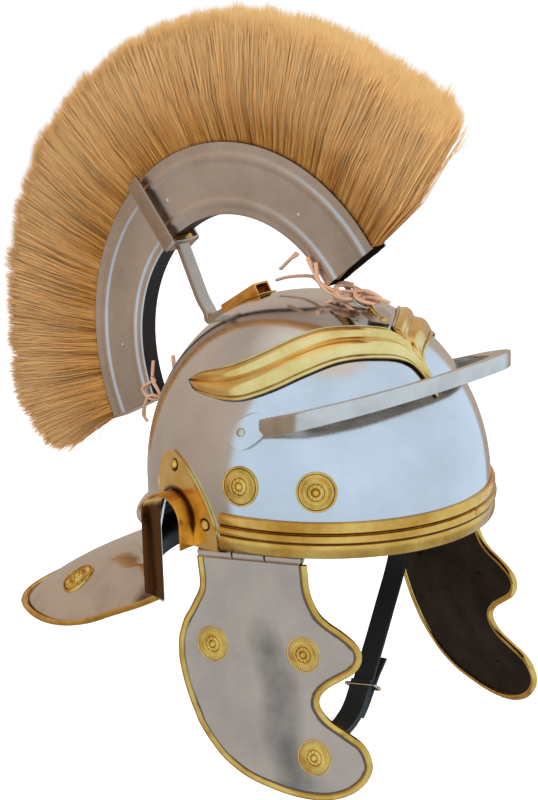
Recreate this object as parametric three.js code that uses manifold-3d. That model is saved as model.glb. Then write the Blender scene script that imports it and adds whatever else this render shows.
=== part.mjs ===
// Roman legionary helmet with a hair crest, in millimetres.
// The origin is the middle of the head opening, at the lower edge of the brow band.
// The brow faces -Y, the wearer's right ear is on -X, and +Z is up.
import * as THREE from 'three';
import { mergeVertices } from 'three/addons/utils/BufferGeometryUtils.js';
import Module from 'manifold-3d';

const wasm = await Module();
wasm.setup();

// Sheet metal, fits and fineness of the facets
const gap = 0.3;
const bowlWall = 1.5;
const brassSheet = 1.2;
const steelSheet = 1.3;
const aroundSteps = 32;
const domeSteps = 5;
const tubeSides = 6;

// Bowl: an oval dome over a short upright wall
const bowlHalfWidth = 98;
const bowlHalfLength = 109;
const bowlHeight = 129.5;
const domeSpringHeight = 17.5;
const domeFullness = 1.064;
const crownFlatness = 0.047;

// Nape: the back of the bowl runs down with two embossed ridges
const napeDrop = 47;
const napeFrontY = 42;
const napeRidgeHeight = 8;
const napeLip = 5;
const upperRidgeZ = -7;
const upperRidgeHalf = 9;
const lowerRidgeZ = -26;
const lowerRidgeHalf = 12;

// Ear opening and the brass ear guard round it
const earCentreY = 24;
const earRadius = 15.5;
const earSpringZ = 11;
const earFlangeReach = 12.5;
const earFlangeInset = 1.5;
const earFlangeFootRise = 9;
const earRivetRise = 14;
const earRivetFront = 10;
const earRivetBack = 2.5;
const earPlateWidthTop = 21;
const earPlateWidthFront = 19;
const earPlateFoot = 4;
const rivetRadius = 2.2;
const rivetHeight = 1.6;
const seatDepth = 2.2;

// Neck guard
const neckHalfWidth = 104;
const neckReach = 160;
const neckDrop = 38;
const neckCornerDrop = 44;
const neckCrown = 8;
const neckRootLift = 4;
const rimRadius = 1.9;
const cheekRimRadius = 1.6;

// Brow band
const bandHeight = 21;
const bandRelief = 3;
const bandFrontOfEar = 21;

// Brow ornament
const ornamentSheet = 1;
const ornamentRelief = 2.4;
const ornamentStand = 0.8;

// Peak: an angle bar bent round the front of the bowl, its ends beaten flat
const peakInset = 9;
const peakHalfWidth = bowlHalfWidth - peakInset;
const peakEndInset = 15.5;
const peakEndHalfWidth = bowlHalfWidth - peakEndInset;
const peakReach = 91.5;
const peakRearY = -22;
const peakRearZ = 66;
const peakTilt = 18;
const peakFace = 11.6;
const peakFrontFace = 0.82;
const peakShelf = 12;
const peakBar = 2.2;
const peakPadLength = 26;
const peakPadHeight = 19;
const peakBarStart = 11;
const peakSquareness = 0.85;

// Rosettes: pressed brass roundels with a domed stud
const rosetteRadius = 11.6;
const cheekRosetteRadius = 10.9;
const rosetteRise = 2.6;
const rosetteSheet = 1;
const rosetteSides = 9;

// Crest box: a channel bent to an arc, open outward, that holds the hair
const crestY = 54.8;
const crestZ = 83;
const crestOuter = 132.5;
const crestInner = 88.5;
const crestWidth = 13;
const crestWall = 1.2;
const crestRearAngle = -26;
const crestFrontAngle = 143.5;
const crestRib = 1.4;

// Hair of the crest
const hairLength = 95;
const hairSpread = 30;
const hairLockRelief = 1;
const hairSectors = 6;
const frontLean = 0.12;

// Fork that carries the crest box, and the bracket on the crown that it slides into
const forkAngle = 50;
const forkStripWidth = 11;
const forkClearance = 2.2;
const forkStrip = 1.6;
const stemWidth = 9;
const stemThickness = 4;
const bracketFrontY = 38.5;
const bracketLength = 33;
const bracketInnerWidth = 10.4;
const bracketWall = 1.2;

// Hooks, rings and leather ties at both ends of the crest box
const hookPlateLength = 16;
const hookPlateWidth = 20;
const eyeRadius = 2.3;
const eyeWire = 0.8;
const ringWire = 0.9;
const ringRadius = 6.6;
const thongRadius = 1.1;

// Cheek guards and their hinges
const hingeRearInset = 2.5;
const hingeRearX = bowlHalfWidth - hingeRearInset;
const hingeFrontInset = 19.6;
const hingeFrontX = bowlHalfWidth - hingeFrontInset;
const hingeRearY = 8;
const hingeFrontY = -57;
const hingeRearZ = -8.2;
const hingeFrontZ = -4;
const knuckleRadius = 2.6;
const pinRadius = 1.2;
const leafHeight = 12;
const guardDepth = 138.6;
const guardReach = 64;
const guardHollow = 3.1;
const guardSplay = 0.124;

// Chin strap and its buckle
const strapWidth = 12;
const strapThickness = 2.2;
const buckleWire = 1.2;
const buckleSpan = 18;

const steel = (color = 0xb9b2ab) => new THREE.MeshStandardMaterial({ color, roughness: 0.3, metalness: 1 });
const brass = (color = 0xc79a3c) => new THREE.MeshStandardMaterial({ color, roughness: 0.25, metalness: 1 });
const hair = () => new THREE.MeshStandardMaterial({ color: 0xc8975a, roughness: 0.8, metalness: 0 });
const leather = (color) => new THREE.MeshStandardMaterial({ color, roughness: 0.6, metalness: 0 });

const helmet = new THREE.Group();
const V = (x, y, z) => new THREE.Vector3(x, y, z);
const rad = THREE.MathUtils.degToRad;
const lerp = THREE.MathUtils.lerp;
const clamp = THREE.MathUtils.clamp;

function add(name, geometry, material) {
  const mesh = new THREE.Mesh(geometry, material);
  mesh.name = name;
  helmet.add(mesh);
  return mesh;
}

// Closed surface from points and triangles, turned so that its faces point out
function closedGeometry(points, faces) {
  let geometry = new THREE.BufferGeometry().setFromPoints(points);
  geometry.setIndex(faces);
  geometry = mergeVertices(geometry, 1e-4);
  const index = geometry.index.array;
  const kept = [];
  for (let i = 0; i < index.length; i += 3) {
    const [a, b, c] = [index[i], index[i + 1], index[i + 2]];
    if (a !== b && b !== c && c !== a) kept.push(a, b, c);
  }
  const at = geometry.attributes.position;
  const [p, q, r] = [V(), V(), V()];
  let volume = 0;
  for (let i = 0; i < kept.length; i += 3) {
    p.fromBufferAttribute(at, kept[i]);
    q.fromBufferAttribute(at, kept[i + 1]);
    r.fromBufferAttribute(at, kept[i + 2]);
    volume += p.dot(q.cross(r));
  }
  if (volume < 0) kept.reverse();
  geometry.setIndex(kept);
  return geometry;
}

// Loops of points joined in order, closed by a flat cap at each end or back to the first loop
function loft(loops, { ring = false, profile = null } = {}) {
  const count = loops[0].length;
  const points = loops.flat();
  const faces = [];
  const rows = ring ? loops.length : loops.length - 1;
  for (let i = 0; i < rows; i++) {
    const a = i * count;
    const b = ((i + 1) % loops.length) * count;
    for (let j = 0; j < count; j++) {
      const k = (j + 1) % count;
      faces.push(a + j, a + k, b + k, a + j, b + k, b + j);
    }
  }
  if (!ring) {
    const outline = profile ?? loops[0].map((_, j) => {
      const angle = (2 * Math.PI * j) / count;
      return new THREE.Vector2(Math.cos(angle), Math.sin(angle));
    });
    const last = (loops.length - 1) * count;
    for (const [a, b, c] of THREE.ShapeUtils.triangulateShape(outline, [])) {
      const sameTurn = THREE.ShapeUtils.area(outline) > 0;
      if (sameTurn) faces.push(a, c, b, last + a, last + b, last + c);
      else faces.push(a, b, c, last + a, last + c, last + b);
    }
  }
  return closedGeometry(points, faces);
}

// Sheet between two grids of points, closed along its edges
function sheet(outer, inner, { around = false } = {}) {
  const rows = outer.length;
  const columns = outer[0].length;
  const points = [...outer.flat(), ...inner.flat()];
  const half = rows * columns;
  const faces = [];
  const quad = (a, b, c, d) => faces.push(a, b, c, a, c, d);
  const at = (i, j) => i * columns + (j % columns);
  const spans = around ? columns : columns - 1;
  for (let i = 0; i < rows - 1; i++) {
    for (let j = 0; j < spans; j++) {
      quad(at(i, j), at(i, j + 1), at(i + 1, j + 1), at(i + 1, j));
      quad(half + at(i, j), half + at(i + 1, j), half + at(i + 1, j + 1), half + at(i, j + 1));
    }
    if (!around) {
      quad(at(i, 0), at(i + 1, 0), half + at(i + 1, 0), half + at(i, 0));
      quad(at(i + 1, spans), at(i, spans), half + at(i, spans), half + at(i + 1, spans));
    }
  }
  for (let j = 0; j < spans; j++) {
    quad(at(0, j + 1), at(0, j), half + at(0, j), half + at(0, j + 1));
    quad(at(rows - 1, j), at(rows - 1, j + 1), half + at(rows - 1, j + 1), half + at(rows - 1, j));
  }
  return closedGeometry(points, faces);
}

// Solids that join and cut each other
function solidOf(geometry) {
  let bare = geometry.clone();
  bare.deleteAttribute('normal');
  bare.deleteAttribute('uv');
  bare = mergeVertices(bare, 1e-4);
  return new wasm.Manifold(new wasm.Mesh({
    numProp: 3,
    vertProperties: new Float32Array(bare.attributes.position.array),
    triVerts: new Uint32Array(bare.index.array),
  }));
}

function geometryOf(solid) {
  const mesh = solid.getMesh();
  const geometry = new THREE.BufferGeometry();
  geometry.setAttribute('position', new THREE.BufferAttribute(new Float32Array(mesh.vertProperties), 3));
  geometry.setIndex(new THREE.BufferAttribute(new Uint32Array(mesh.triVerts), 1));
  return geometry;
}

function boxBetween(low, high) {
  const size = high.clone().sub(low);
  const centre = low.clone().add(high).multiplyScalar(0.5);
  return new THREE.BoxGeometry(size.x, size.y, size.z).translate(centre.x, centre.y, centre.z);
}

// The same shape on the wearer's left
function mirrored(geometry) {
  const copy = geometry.clone().scale(-1, 1, 1);
  const index = Array.from(copy.index.array).reverse();
  copy.setIndex(index);
  return copy;
}

function addPair(name, geometry, material) {
  add(`${name}_right`, geometry, material());
  add(`${name}_left`, mirrored(geometry), material());
}

// Round wire along points in space, with flat ends
function wire(points, radius, { steps = 24, sides = tubeSides, closed = false } = {}) {
  const path = new THREE.CatmullRomCurve3(points, closed, 'centripetal');
  const section = new THREE.Shape().absarc(0, 0, radius, 0, 2 * Math.PI);
  const geometry = new THREE.ExtrudeGeometry(section, { steps, curveSegments: sides / 2, extrudePath: path });
  geometry.deleteAttribute('normal');
  geometry.deleteAttribute('uv');
  const merged = mergeVertices(geometry, 1e-3);
  const at = merged.attributes.position;
  const points3 = Array.from({ length: at.count }, (_, i) => V().fromBufferAttribute(at, i));
  return closedGeometry(points3, Array.from(merged.index.array));
}

// Rise of the dome for the sine of its lift: round below, pressed flatter at the crown
const domeRise = (sine) => (sine - crownFlatness * sine ** 8) / (1 - crownFlatness);

// Plan radius of the dome at a height, as a share of its foot
function domeReach(z, stand = 0) {
  const share = clamp((z - domeSpringHeight) / (bowlHeight + stand - domeSpringHeight), 0, 1);
  let sine = share;
  for (let i = 0; i < 30; i++) sine = share * (1 - crownFlatness) + crownFlatness * sine ** 8;
  return Math.sqrt(Math.max(1 - sine * sine, 0)) ** domeFullness;
}

// Outer skin of the bowl. turn is the plan angle from +X, climb runs from 0 at the spring line to 1.
function domePoint(turn, climb, stand = 0) {
  const lift = rad(90) * climb;
  const reach = Math.max(Math.cos(lift), 0) ** domeFullness;
  return V(
    (bowlHalfWidth + stand) * reach * Math.cos(turn),
    (bowlHalfLength + stand) * reach * Math.sin(turn),
    domeSpringHeight + (bowlHeight + stand - domeSpringHeight) * domeRise(Math.sin(lift)),
  );
}

// How far the nape stands out from the plain oval wall
function napeFlare(turn, z) {
  const backness = clamp((Math.sin(turn) - 0.42) / 0.3, 0, 1);
  const bump = (centre, half) => {
    const share = (z - centre) / half;
    return Math.abs(share) < 1 ? Math.cos(share * Math.PI / 2) ** 2 : 0;
  };
  const ridges = bump(upperRidgeZ, upperRidgeHalf) + bump(lowerRidgeZ, lowerRidgeHalf);
  const beside = (Math.sin(turn) * bowlHalfLength - earCentreY - earRadius) / (earRadius * 1.6);
  const lip = Math.abs(beside) < 1 ? Math.cos(beside * Math.PI / 2) ** 2 : 0;
  const below = clamp((domeSpringHeight - z) / domeSpringHeight, 0, 1);
  return napeRidgeHeight * backness * ridges + napeLip * lip * below;
}

function wallPoint(turn, z, stand = 0) {
  const out = stand + napeFlare(turn, z);
  return V((bowlHalfWidth + out) * Math.cos(turn), (bowlHalfLength + out) * Math.sin(turn), z);
}

// Point of the dome skin that lies over a place seen from the side, at (y, z)
function skinAt(y, z, stand = 0) {
  const reach = domeReach(z, stand);
  const share = y / (bowlHalfLength + stand);
  return V(-(bowlHalfWidth + stand) * Math.sqrt(Math.max(reach * reach - share * share, 0)), y, z);
}

// Height of the crown above a place in plan
function crownZ(x, y, stand = 0) {
  const reach = Math.hypot(x / (bowlHalfWidth + stand), y / (bowlHalfLength + stand));
  const lift = Math.acos(clamp(reach, 0, 1) ** (1 / domeFullness));
  return domeSpringHeight + (bowlHeight + stand - domeSpringHeight) * domeRise(Math.sin(lift));
}

// Outward direction of the dome skin near a point
function skinNormal(p) {
  const up = Math.max(p.z - domeSpringHeight, 0) / (bowlHeight - domeSpringHeight) ** 2;
  return V(p.x / bowlHalfWidth ** 2, p.y / bowlHalfLength ** 2, up).normalize();
}

// Full shell down to the nape's foot, at a distance off the outer skin
function shellLoops(stand, foot) {
  const ridges = [[lowerRidgeZ, lowerRidgeHalf], [upperRidgeZ, upperRidgeHalf]];
  const bends = ridges.flatMap(([z, half]) => [z - half * 0.95, z - half / 2, z, z + half / 2]);
  const levels = [foot, ...bends.filter((z) => z > foot + 2), domeSpringHeight];
  const turns = Array.from({ length: aroundSteps }, (_, j) => (2 * Math.PI * j) / aroundSteps);
  const wall = levels.map((z) => turns.map((turn) => wallPoint(turn, z, stand)));
  const dome = Array.from({ length: domeSteps }, (_, i) => {
    const climb = (i + 1) / domeSteps;
    return turns.map((turn) => domePoint(turn, climb, stand));
  });
  return [...wall, ...dome];
}

const shellSolid = (outer, inner, foot) => solidOf(
  sheet(shellLoops(outer, foot), shellLoops(inner, foot), { around: true }),
);

// Outline of the ear opening in the (y, z) plane, grown by a margin and run down to a depth
function earOutline(margin, frontFoot, rearFoot) {
  const radius = earRadius + margin;
  const shape = new THREE.Shape();
  shape.moveTo(earCentreY - radius, frontFoot);
  shape.lineTo(earCentreY - radius, earSpringZ);
  shape.absarc(earCentreY, earSpringZ, radius, Math.PI, 0, true);
  shape.lineTo(earCentreY + radius, rearFoot);
  return shape;
}

// A (y, z) outline made solid between two distances from the middle, on the right side
function sideExtrusion(shape, fromX, toX, curveSegments = 8) {
  const geometry = new THREE.ExtrudeGeometry(shape, { depth: toX - fromX, bevelEnabled: false, curveSegments });
  const place = new THREE.Matrix4().makeBasis(V(0, 1, 0), V(0, 0, 1), V(1, 0, 0));
  return geometry.applyMatrix4(place).translate(-toX, 0, 0);
}

// Neck guard rim in plan, from the right corner to the middle of the back
const neckRim = [
  { width: 0.94, back: 0.0, down: 0.0 },
  { width: 0.955, back: 0.1, down: 0.22 },
  { width: 0.98, back: 0.23, down: 0.47 },
  { width: 0.995, back: 0.37, down: 0.74 },
  { width: 1.0, back: 0.51, down: 0.92 },
  { width: 0.985, back: 0.64, down: 1.0 },
  { width: 0.94, back: 0.76, down: 1.0 },
  { width: 0.84, back: 0.87, down: 0.99 },
  { width: 0.66, back: 0.945, down: 0.98 },
  { width: 0.36, back: 0.99, down: 0.97 },
  { width: 0.0, back: 1.0, down: 0.97 },
];

function neckRimPoint(row, out = 0) {
  const plan = new THREE.Vector2(-neckHalfWidth * row.width, napeFrontY + neckReach * row.back);
  const away = new THREE.Vector2(plan.x, plan.y - napeFrontY).normalize().multiplyScalar(out);
  return V(plan.x + away.x, plan.y + away.y, -neckCornerDrop - neckDrop * row.down);
}

const neckRows = [...neckRim, ...neckRim.slice(0, -1).reverse().map((row) => ({ ...row, width: -row.width }))];

// Point of the neck guard's upper face, from its root at the nape (0) to its rim (1)
function neckPoint(row, share, stand = 0) {
  const rim = neckRimPoint(row, -rimRadius - 3 * gap);
  const turn = Math.atan2(rim.y / bowlHalfLength, rim.x / bowlHalfWidth);
  const root = wallPoint(turn, -napeDrop + 3, -bowlWall / 2);
  const back = clamp(row.back * 2, 0, 1);
  root.z = -napeDrop + 2.5 + neckRootLift * back;
  const p = root.clone().lerp(rim, share);
  const swell = (1 - Math.abs(2 * share - 1) ** 3) * (1.25 - 0.25 * Math.abs(row.width));
  p.z += neckCrown * swell * back + stand;
  return p;
}

function bowlGeometry() {
  const shell = shellSolid(0, -bowlWall, -napeDrop);
  const reach = bowlHalfWidth + 40;
  const frontCut = solidOf(boxBetween(V(-reach, -reach * 2, -napeDrop - 5), V(reach, earCentreY, 0)));
  const earCut = solidOf(sideExtrusion(earOutline(0, -napeDrop - 5, -napeDrop - 5), -reach, reach));
  const shares = [0, 0.12, 0.5, 0.82, 1];
  const upper = neckRows.map((row) => shares.map((share) => neckPoint(row, share)));
  const lower = neckRows.map((row) => shares.map((share) => neckPoint(row, share, -bowlWall)));
  const neck = solidOf(sheet(upper, lower));
  return geometryOf(shell.subtract(frontCut).subtract(earCut).add(neck));
}

// Ear guard: a crescent of sheet on the bowl with a flange standing out round the opening
function earGuardGeometry() {
  const plate = new THREE.Shape();
  const top = earSpringZ + earRadius + earPlateWidthTop;
  plate.moveTo(earCentreY - earRadius - earPlateWidthFront, -earPlateFoot);
  plate.bezierCurveTo(
    earCentreY - earRadius - earPlateWidthFront - 1, earSpringZ + 8,
    earCentreY - earRadius - 2, top - 6,
    earCentreY + 4, top,
  );
  plate.bezierCurveTo(
    earCentreY + earRadius - 1, top + 3,
    earCentreY + earRadius + 8, top - 14,
    earCentreY + earRadius + 2, earSpringZ + 4,
  );
  plate.lineTo(earCentreY + earRadius - 1, earSpringZ);
  plate.lineTo(earCentreY + earRadius - 1, -earPlateFoot);
  const inner = bowlHalfWidth / 2;
  const outer = bowlHalfWidth * 1.5;
  const inside = solidOf(sideExtrusion(earOutline(-gap - brassSheet, -earPlateFoot - 9, -napeDrop - 9), inner, outer));
  const clad = shellSolid(gap + brassSheet, gap, -earPlateFoot - 3)
    .intersect(solidOf(sideExtrusion(plate, inner, outer, 10)));
  const flangeOuter = earOutline(-gap, -earPlateFoot, -napeDrop + 1);
  const flange = solidOf(sideExtrusion(flangeOuter, bowlHalfWidth - earFlangeInset, bowlHalfWidth + earFlangeReach));
  const [near, far] = [bowlHalfWidth - earFlangeInset, bowlHalfWidth + earFlangeReach];
  const slope = new THREE.Shape([
    new THREE.Vector2(-near + 1, -napeDrop - 9),
    new THREE.Vector2(-near + 1, -napeDrop + 1),
    new THREE.Vector2(-near, -napeDrop + 1),
    new THREE.Vector2(-far - 1, -napeDrop + 1 + earFlangeFootRise * (far + 1 - near) / (far - near)),
    new THREE.Vector2(-far - 1, -napeDrop - 9),
  ]);
  const under = new THREE.ExtrudeGeometry(slope, { depth: earRadius * 4, bevelEnabled: false });
  under.rotateX(Math.PI / 2).translate(0, earCentreY + earRadius * 3, 0);
  return geometryOf(clad.add(flange).subtract(inside).subtract(solidOf(under)));
}

// Small domed rivet head at a point and direction, deep enough below to be cut to its seat
function rivetGeometry(at, out, radius = rivetRadius, height = rivetHeight, sunk = 0) {
  const profile = [
    new THREE.Vector2(0, -sunk),
    new THREE.Vector2(radius, -sunk),
    new THREE.Vector2(radius * 0.8, height * 0.6),
    new THREE.Vector2(0, height),
  ];
  return latheAt(profile, 6, at, out);
}

function latheAt(profile, sides, at, out) {
  const geometry = new THREE.LatheGeometry(profile, sides);
  const bare = closedGeometry(pointsOf(geometry), Array.from(geometry.index.array));
  const turn = new THREE.Quaternion().setFromUnitVectors(V(0, 1, 0), out);
  return bare.applyQuaternion(turn).translate(at.x, at.y, at.z);
}

function pointsOf(geometry) {
  const at = geometry.attributes.position;
  return Array.from({ length: at.count }, (_, i) => V().fromBufferAttribute(at, i));
}

// Brow band: a moulded strip round the front, from one ear guard to the other
const bandProfile = [
  { up: 0.0, out: 0.45 },
  { up: 0.04, out: 0.62 },
  { up: 0.36, out: 0.62 },
  { up: 0.41, out: 0.42 },
  { up: 0.46, out: 1.0 },
  { up: 0.62, out: 1.0 },
  { up: 0.68, out: 0.42 },
  { up: 0.73, out: 0.68 },
  { up: 1.0, out: 0.6 },
];

function browBandGeometry() {
  const foot = -1;
  const endY = earCentreY - earRadius - bandFrontOfEar;
  const start = Math.PI - Math.asin(endY / bowlHalfLength);
  const sweep = 3 * Math.PI - 2 * start;
  const steps = 22;
  const outline = bandProfile.map((row) => new THREE.Vector2(row.out * bandRelief, foot + row.up * bandHeight));
  outline.push(new THREE.Vector2(0, foot + bandHeight), new THREE.Vector2(0, foot));
  const loops = Array.from({ length: steps + 1 }, (_, i) => {
    const turn = start + (sweep * i) / steps;
    return outline.map((p) => {
      const stand = gap + p.x;
      if (p.y <= domeSpringHeight) return V((bowlHalfWidth + stand) * Math.cos(turn), (bowlHalfLength + stand) * Math.sin(turn), p.y);
      const climb = Math.asin((p.y - domeSpringHeight) / (bowlHeight - domeSpringHeight)) / rad(90);
      return domePoint(turn, climb, stand).setZ(p.y);
    });
  });
  return loft(loops, { profile: outline });
}

// Brow ornament, one row for each section from its rear tip to the middle of the front.
// Each edge is a place on the skin: back of the brow as a share of the bowl's half length,
// up as a share of its height.
const browRows = [
  { topY: 0.292, topZ: 0.664, footY: 0.285, footZ: 0.657 },
  { topY: 0.201, topZ: 0.707, footY: 0.21, footZ: 0.633 },
  { topY: 0.101, topZ: 0.733, footY: 0.12, footZ: 0.629 },
  { topY: -0.018, topZ: 0.769, footY: -0.02, footZ: 0.625 },
  { topY: -0.127, topZ: 0.815, footY: -0.16, footZ: 0.641 },
  { topY: -0.224, topZ: 0.865, footY: -0.3, footZ: 0.69 },
  { topY: -0.323, topZ: 0.907, footY: -0.419, footZ: 0.75 },
  { topY: -0.407, topZ: 0.911, footY: -0.518, footZ: 0.792 },
  { topY: -0.478, topZ: 0.901, footY: -0.618, footZ: 0.794 },
  { topY: -0.5245, topZ: 0.885, footY: -0.719, footZ: 0.748 },
];
const browPeak = { topY: -0.575, footY: -0.845 };
const browRelief = [0.25, 1.0, 0.5, 0.45, 0.95, 0.4, 0.25];

function browSection(top, foot) {
  const upper = [];
  const lower = [];
  browRelief.forEach((relief, i) => {
    const share = i / (browRelief.length - 1);
    const guess = top.clone().lerp(foot, share);
    const skin = V(guess.x, guess.y, crownZ(guess.x, guess.y));
    const out = skinNormal(skin);
    lower.push(skin.clone().addScaledVector(out, ornamentStand));
    upper.push(skin.clone().addScaledVector(out, ornamentStand + ornamentSheet + ornamentRelief * relief));
  });
  return { upper, lower };
}

function browOrnamentGeometry() {
  const sections = browRows.map((row) => browSection(
    skinAt(row.topY * bowlHalfLength, row.topZ * bowlHeight),
    skinAt(row.footY * bowlHalfLength, row.footZ * bowlHeight),
  ));
  const middle = browSection(V(0, browPeak.topY * bowlHalfLength, 0), V(0, browPeak.footY * bowlHalfLength, 0));
  const flip = (points) => points.map((p) => V(-p.x, p.y, p.z));
  const far = sections.slice().reverse().map((s) => ({ upper: flip(s.upper), lower: flip(s.lower) }));
  const all = [...sections, middle, ...far];
  return sheet(all.map((s) => s.upper), all.map((s) => s.lower));
}

// Peak: the bar's angle section follows an oval in plan and climbs towards the front
function peakPoint(share, out, up) {
  const turn = Math.PI * share;
  const ends = clamp(1 - Math.min(share, 1 - share) * 9, 0, 1);
  const halfWidth = lerp(peakHalfWidth, peakEndHalfWidth, ends * ends * (3 - 2 * ends)) + out;
  const x = -halfWidth * Math.sign(Math.cos(turn)) * Math.abs(Math.cos(turn)) ** peakSquareness;
  const along = peakBarStart + (peakReach - peakBarStart + out) * Math.sin(turn) ** peakSquareness;
  return V(x, peakRearY - along, peakRearZ + along * Math.tan(rad(peakTilt)) + up);
}

function peakGeometry() {
  const steps = 24;
  const outline = [
    new THREE.Vector2(0, -peakFace / 2),
    new THREE.Vector2(0, peakFace / 2),
    new THREE.Vector2(-peakShelf, peakFace / 2),
    new THREE.Vector2(-peakShelf, peakFace / 2 - peakBar),
    new THREE.Vector2(-peakBar, peakFace / 2 - peakBar),
    new THREE.Vector2(-peakBar, -peakFace / 2),
  ];
  const loops = Array.from({ length: steps + 1 }, (_, i) => {
    const share = i / steps;
    const shelf = clamp(Math.min(share, 1 - share) * 7, 0, 1);
    return outline.map((p) => {
      const thin = p.x < -peakBar ? lerp(-peakBar - 0.4, p.x, shelf) : p.x;
      const face = lerp(1, peakFrontFace, Math.sin(Math.PI * share));
      return peakPoint(share, thin + peakBar, p.y * face);
    });
  });
  const bar = solidOf(loft(loops, { profile: outline }));
  const pads = [-1, 1].map((side) => solidOf(peakPadGeometry(side)));
  const clear = shellSolidFilled(gap);
  return geometryOf(bar.add(pads[0]).add(pads[1]).subtract(clear));
}

// Flat lozenge end of the peak, dished to lie on the skin
function peakPadGeometry(side) {
  const rows = 7;
  const half = peakPadHeight / 2;
  const tilt = Math.tan(rad(peakTilt));
  const upper = [];
  const lower = [];
  for (let i = 0; i <= rows; i++) {
    const along = lerp(peakPadLength * 0.45, -peakPadLength * 0.75, i / rows);
    const tall = Math.max(half * Math.sin(Math.PI * clamp(i / rows, 0.04, 0.8) / 0.95), 1.5);
    const row = [-1, -0.5, 0, 0.5, 1].map((v) => {
      const skin = skinAt(peakRearY + along, peakRearZ - along * tilt + v * tall);
      return V(skin.x * -side, skin.y, skin.z);
    });
    const lift = (p, stand) => p.clone().addScaledVector(skinNormal(p), stand);
    upper.push(row.map((p) => lift(p, gap + peakBar)));
    lower.push(row.map((p) => lift(p, gap + 0.1)));
  }
  return sheet(upper, lower);
}

const shellSolidFilled = (stand) => {
  const loops = shellLoops(stand, 0);
  const foot = loops[0].map(() => V(0, 0, 0));
  const cap = [foot, ...loops];
  const points = cap.flat();
  const faces = [];
  const count = loops[0].length;
  for (let i = 0; i < cap.length - 1; i++) {
    for (let j = 0; j < count; j++) {
      const k = (j + 1) % count;
      faces.push(i * count + j, i * count + k, (i + 1) * count + k);
      faces.push(i * count + j, (i + 1) * count + k, (i + 1) * count + j);
    }
  }
  return solidOf(closedGeometry(points, faces));
};

// A piece whose underside is cut to lie over the faceted skin, at a distance off it
const seated = (geometry, stand) => geometryOf(solidOf(geometry).subtract(shellSolidFilled(stand)));

// Rosette profile: height over the radius, both as shares
const rosetteProfile = [
  { r: 1.0, h: 0.0 },
  { r: 1.0, h: 0.35 },
  { r: 0.87, h: 0.35 },
  { r: 0.48, h: 0.5 },
  { r: 0.2, h: 0.9 },
  { r: 0.0, h: 1.0 },
];

// Rosette pressed on a surface that is given by two functions of a point near it
function rosetteGeometry(centre, out, toSurface, radius = rosetteRadius, sunk = 0) {
  const side = V(0, 0, 1).cross(out).normalize();
  const up = out.clone().cross(side);
  const points = [];
  const faces = [];
  const place = (r, angle, h) => {
    const flat = centre.clone()
      .addScaledVector(side, r * Math.cos(angle))
      .addScaledVector(up, r * Math.sin(angle));
    return toSurface(flat).addScaledVector(out, gap + h);
  };
  rosetteProfile.forEach((row) => {
    for (let j = 0; j < rosetteSides; j++) {
      const angle = (2 * Math.PI * j) / rosetteSides;
      const h = row.h === 0 ? -sunk : rosetteSheet * 0.5 + row.h * rosetteRise;
      points.push(place(row.r * radius, angle, h));
    }
  });
  for (let i = 0; i < rosetteProfile.length - 1; i++) {
    for (let j = 0; j < rosetteSides; j++) {
      const k = (j + 1) % rosetteSides;
      const a = i * rosetteSides;
      const b = a + rosetteSides;
      faces.push(a + j, a + k, b + k, a + j, b + k, b + j);
    }
  }
  const middle = points.push(place(0, 0, -sunk)) - 1;
  for (let j = 0; j < rosetteSides; j++) faces.push(middle, (j + 1) % rosetteSides, j);
  return closedGeometry(points, faces);
}

// Nearest skin point along the outward direction of the place
function ontoSkin(out) {
  return (p) => {
    let q = p.clone();
    for (let i = 0; i < 12; i++) {
      const reach = domeReach(q.z);
      const now = Math.hypot(q.x / bowlHalfWidth, q.y / bowlHalfLength);
      q.addScaledVector(out, (reach - now) * bowlHalfWidth * 0.9);
    }
    return q;
  };
}

// Crest box section: the channel's half widths over its depth, from the base to the lip
const crestRibs = [
  { depth: 0.0, out: 0 },
  { depth: 0.09, out: 0 },
  { depth: 0.13, out: 1 },
  { depth: 0.21, out: 1 },
  { depth: 0.25, out: 0 },
  { depth: 0.72, out: 0 },
  { depth: 0.76, out: 1 },
  { depth: 0.84, out: 1 },
  { depth: 0.88, out: 0 },
  { depth: 1.0, out: 0 },
];

function crestSection() {
  const half = crestWidth / 2;
  const depth = crestOuter - crestInner;
  const side = crestRibs.map((row) => [half + row.out * crestRib, row.depth * depth]);
  const inner = [[half - crestWall, depth], [half - crestWall, crestWall]];
  const right = [...side, ...inner];
  const left = right.slice().reverse().map(([x, r]) => [-x, r]);
  return [...right, ...left].map(([x, r]) => new THREE.Vector2(x, crestInner + r));
}

const crestPoint = (x, radius, angle) => V(
  x,
  crestY + radius * Math.cos(angle),
  crestZ + radius * Math.sin(angle),
);

function crestBoxGeometry() {
  const steps = 16;
  const outline = crestSection();
  const loops = Array.from({ length: steps + 1 }, (_, i) => {
    const angle = rad(lerp(crestRearAngle, crestFrontAngle, i / steps));
    return outline.map((p) => crestPoint(p.x, p.y, angle));
  });
  const channel = solidOf(loft(loops, { profile: outline }));
  const capAngle = rad(crestRearAngle);
  const half = crestWidth / 2 - crestWall / 2;
  const corners = [crestInner + crestWall / 2, crestOuter - 1].map((r) => [
    crestPoint(-half, r, capAngle), crestPoint(half, r, capAngle),
  ]);
  const back = V(0, Math.sin(capAngle), -Math.cos(capAngle));
  const face = [corners[0][0], corners[0][1], corners[1][1], corners[1][0]];
  const cap = loft([
    face.map((p) => p.clone().addScaledVector(back, -crestWall)),
    face.map((p) => p.clone().addScaledVector(back, 0.01)),
  ], { profile: [[0, 0], [1, 0], [1, 1], [0, 1]].map(([a, b]) => new THREE.Vector2(a, b)) });
  return geometryOf(channel.add(solidOf(cap)));
}

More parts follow.
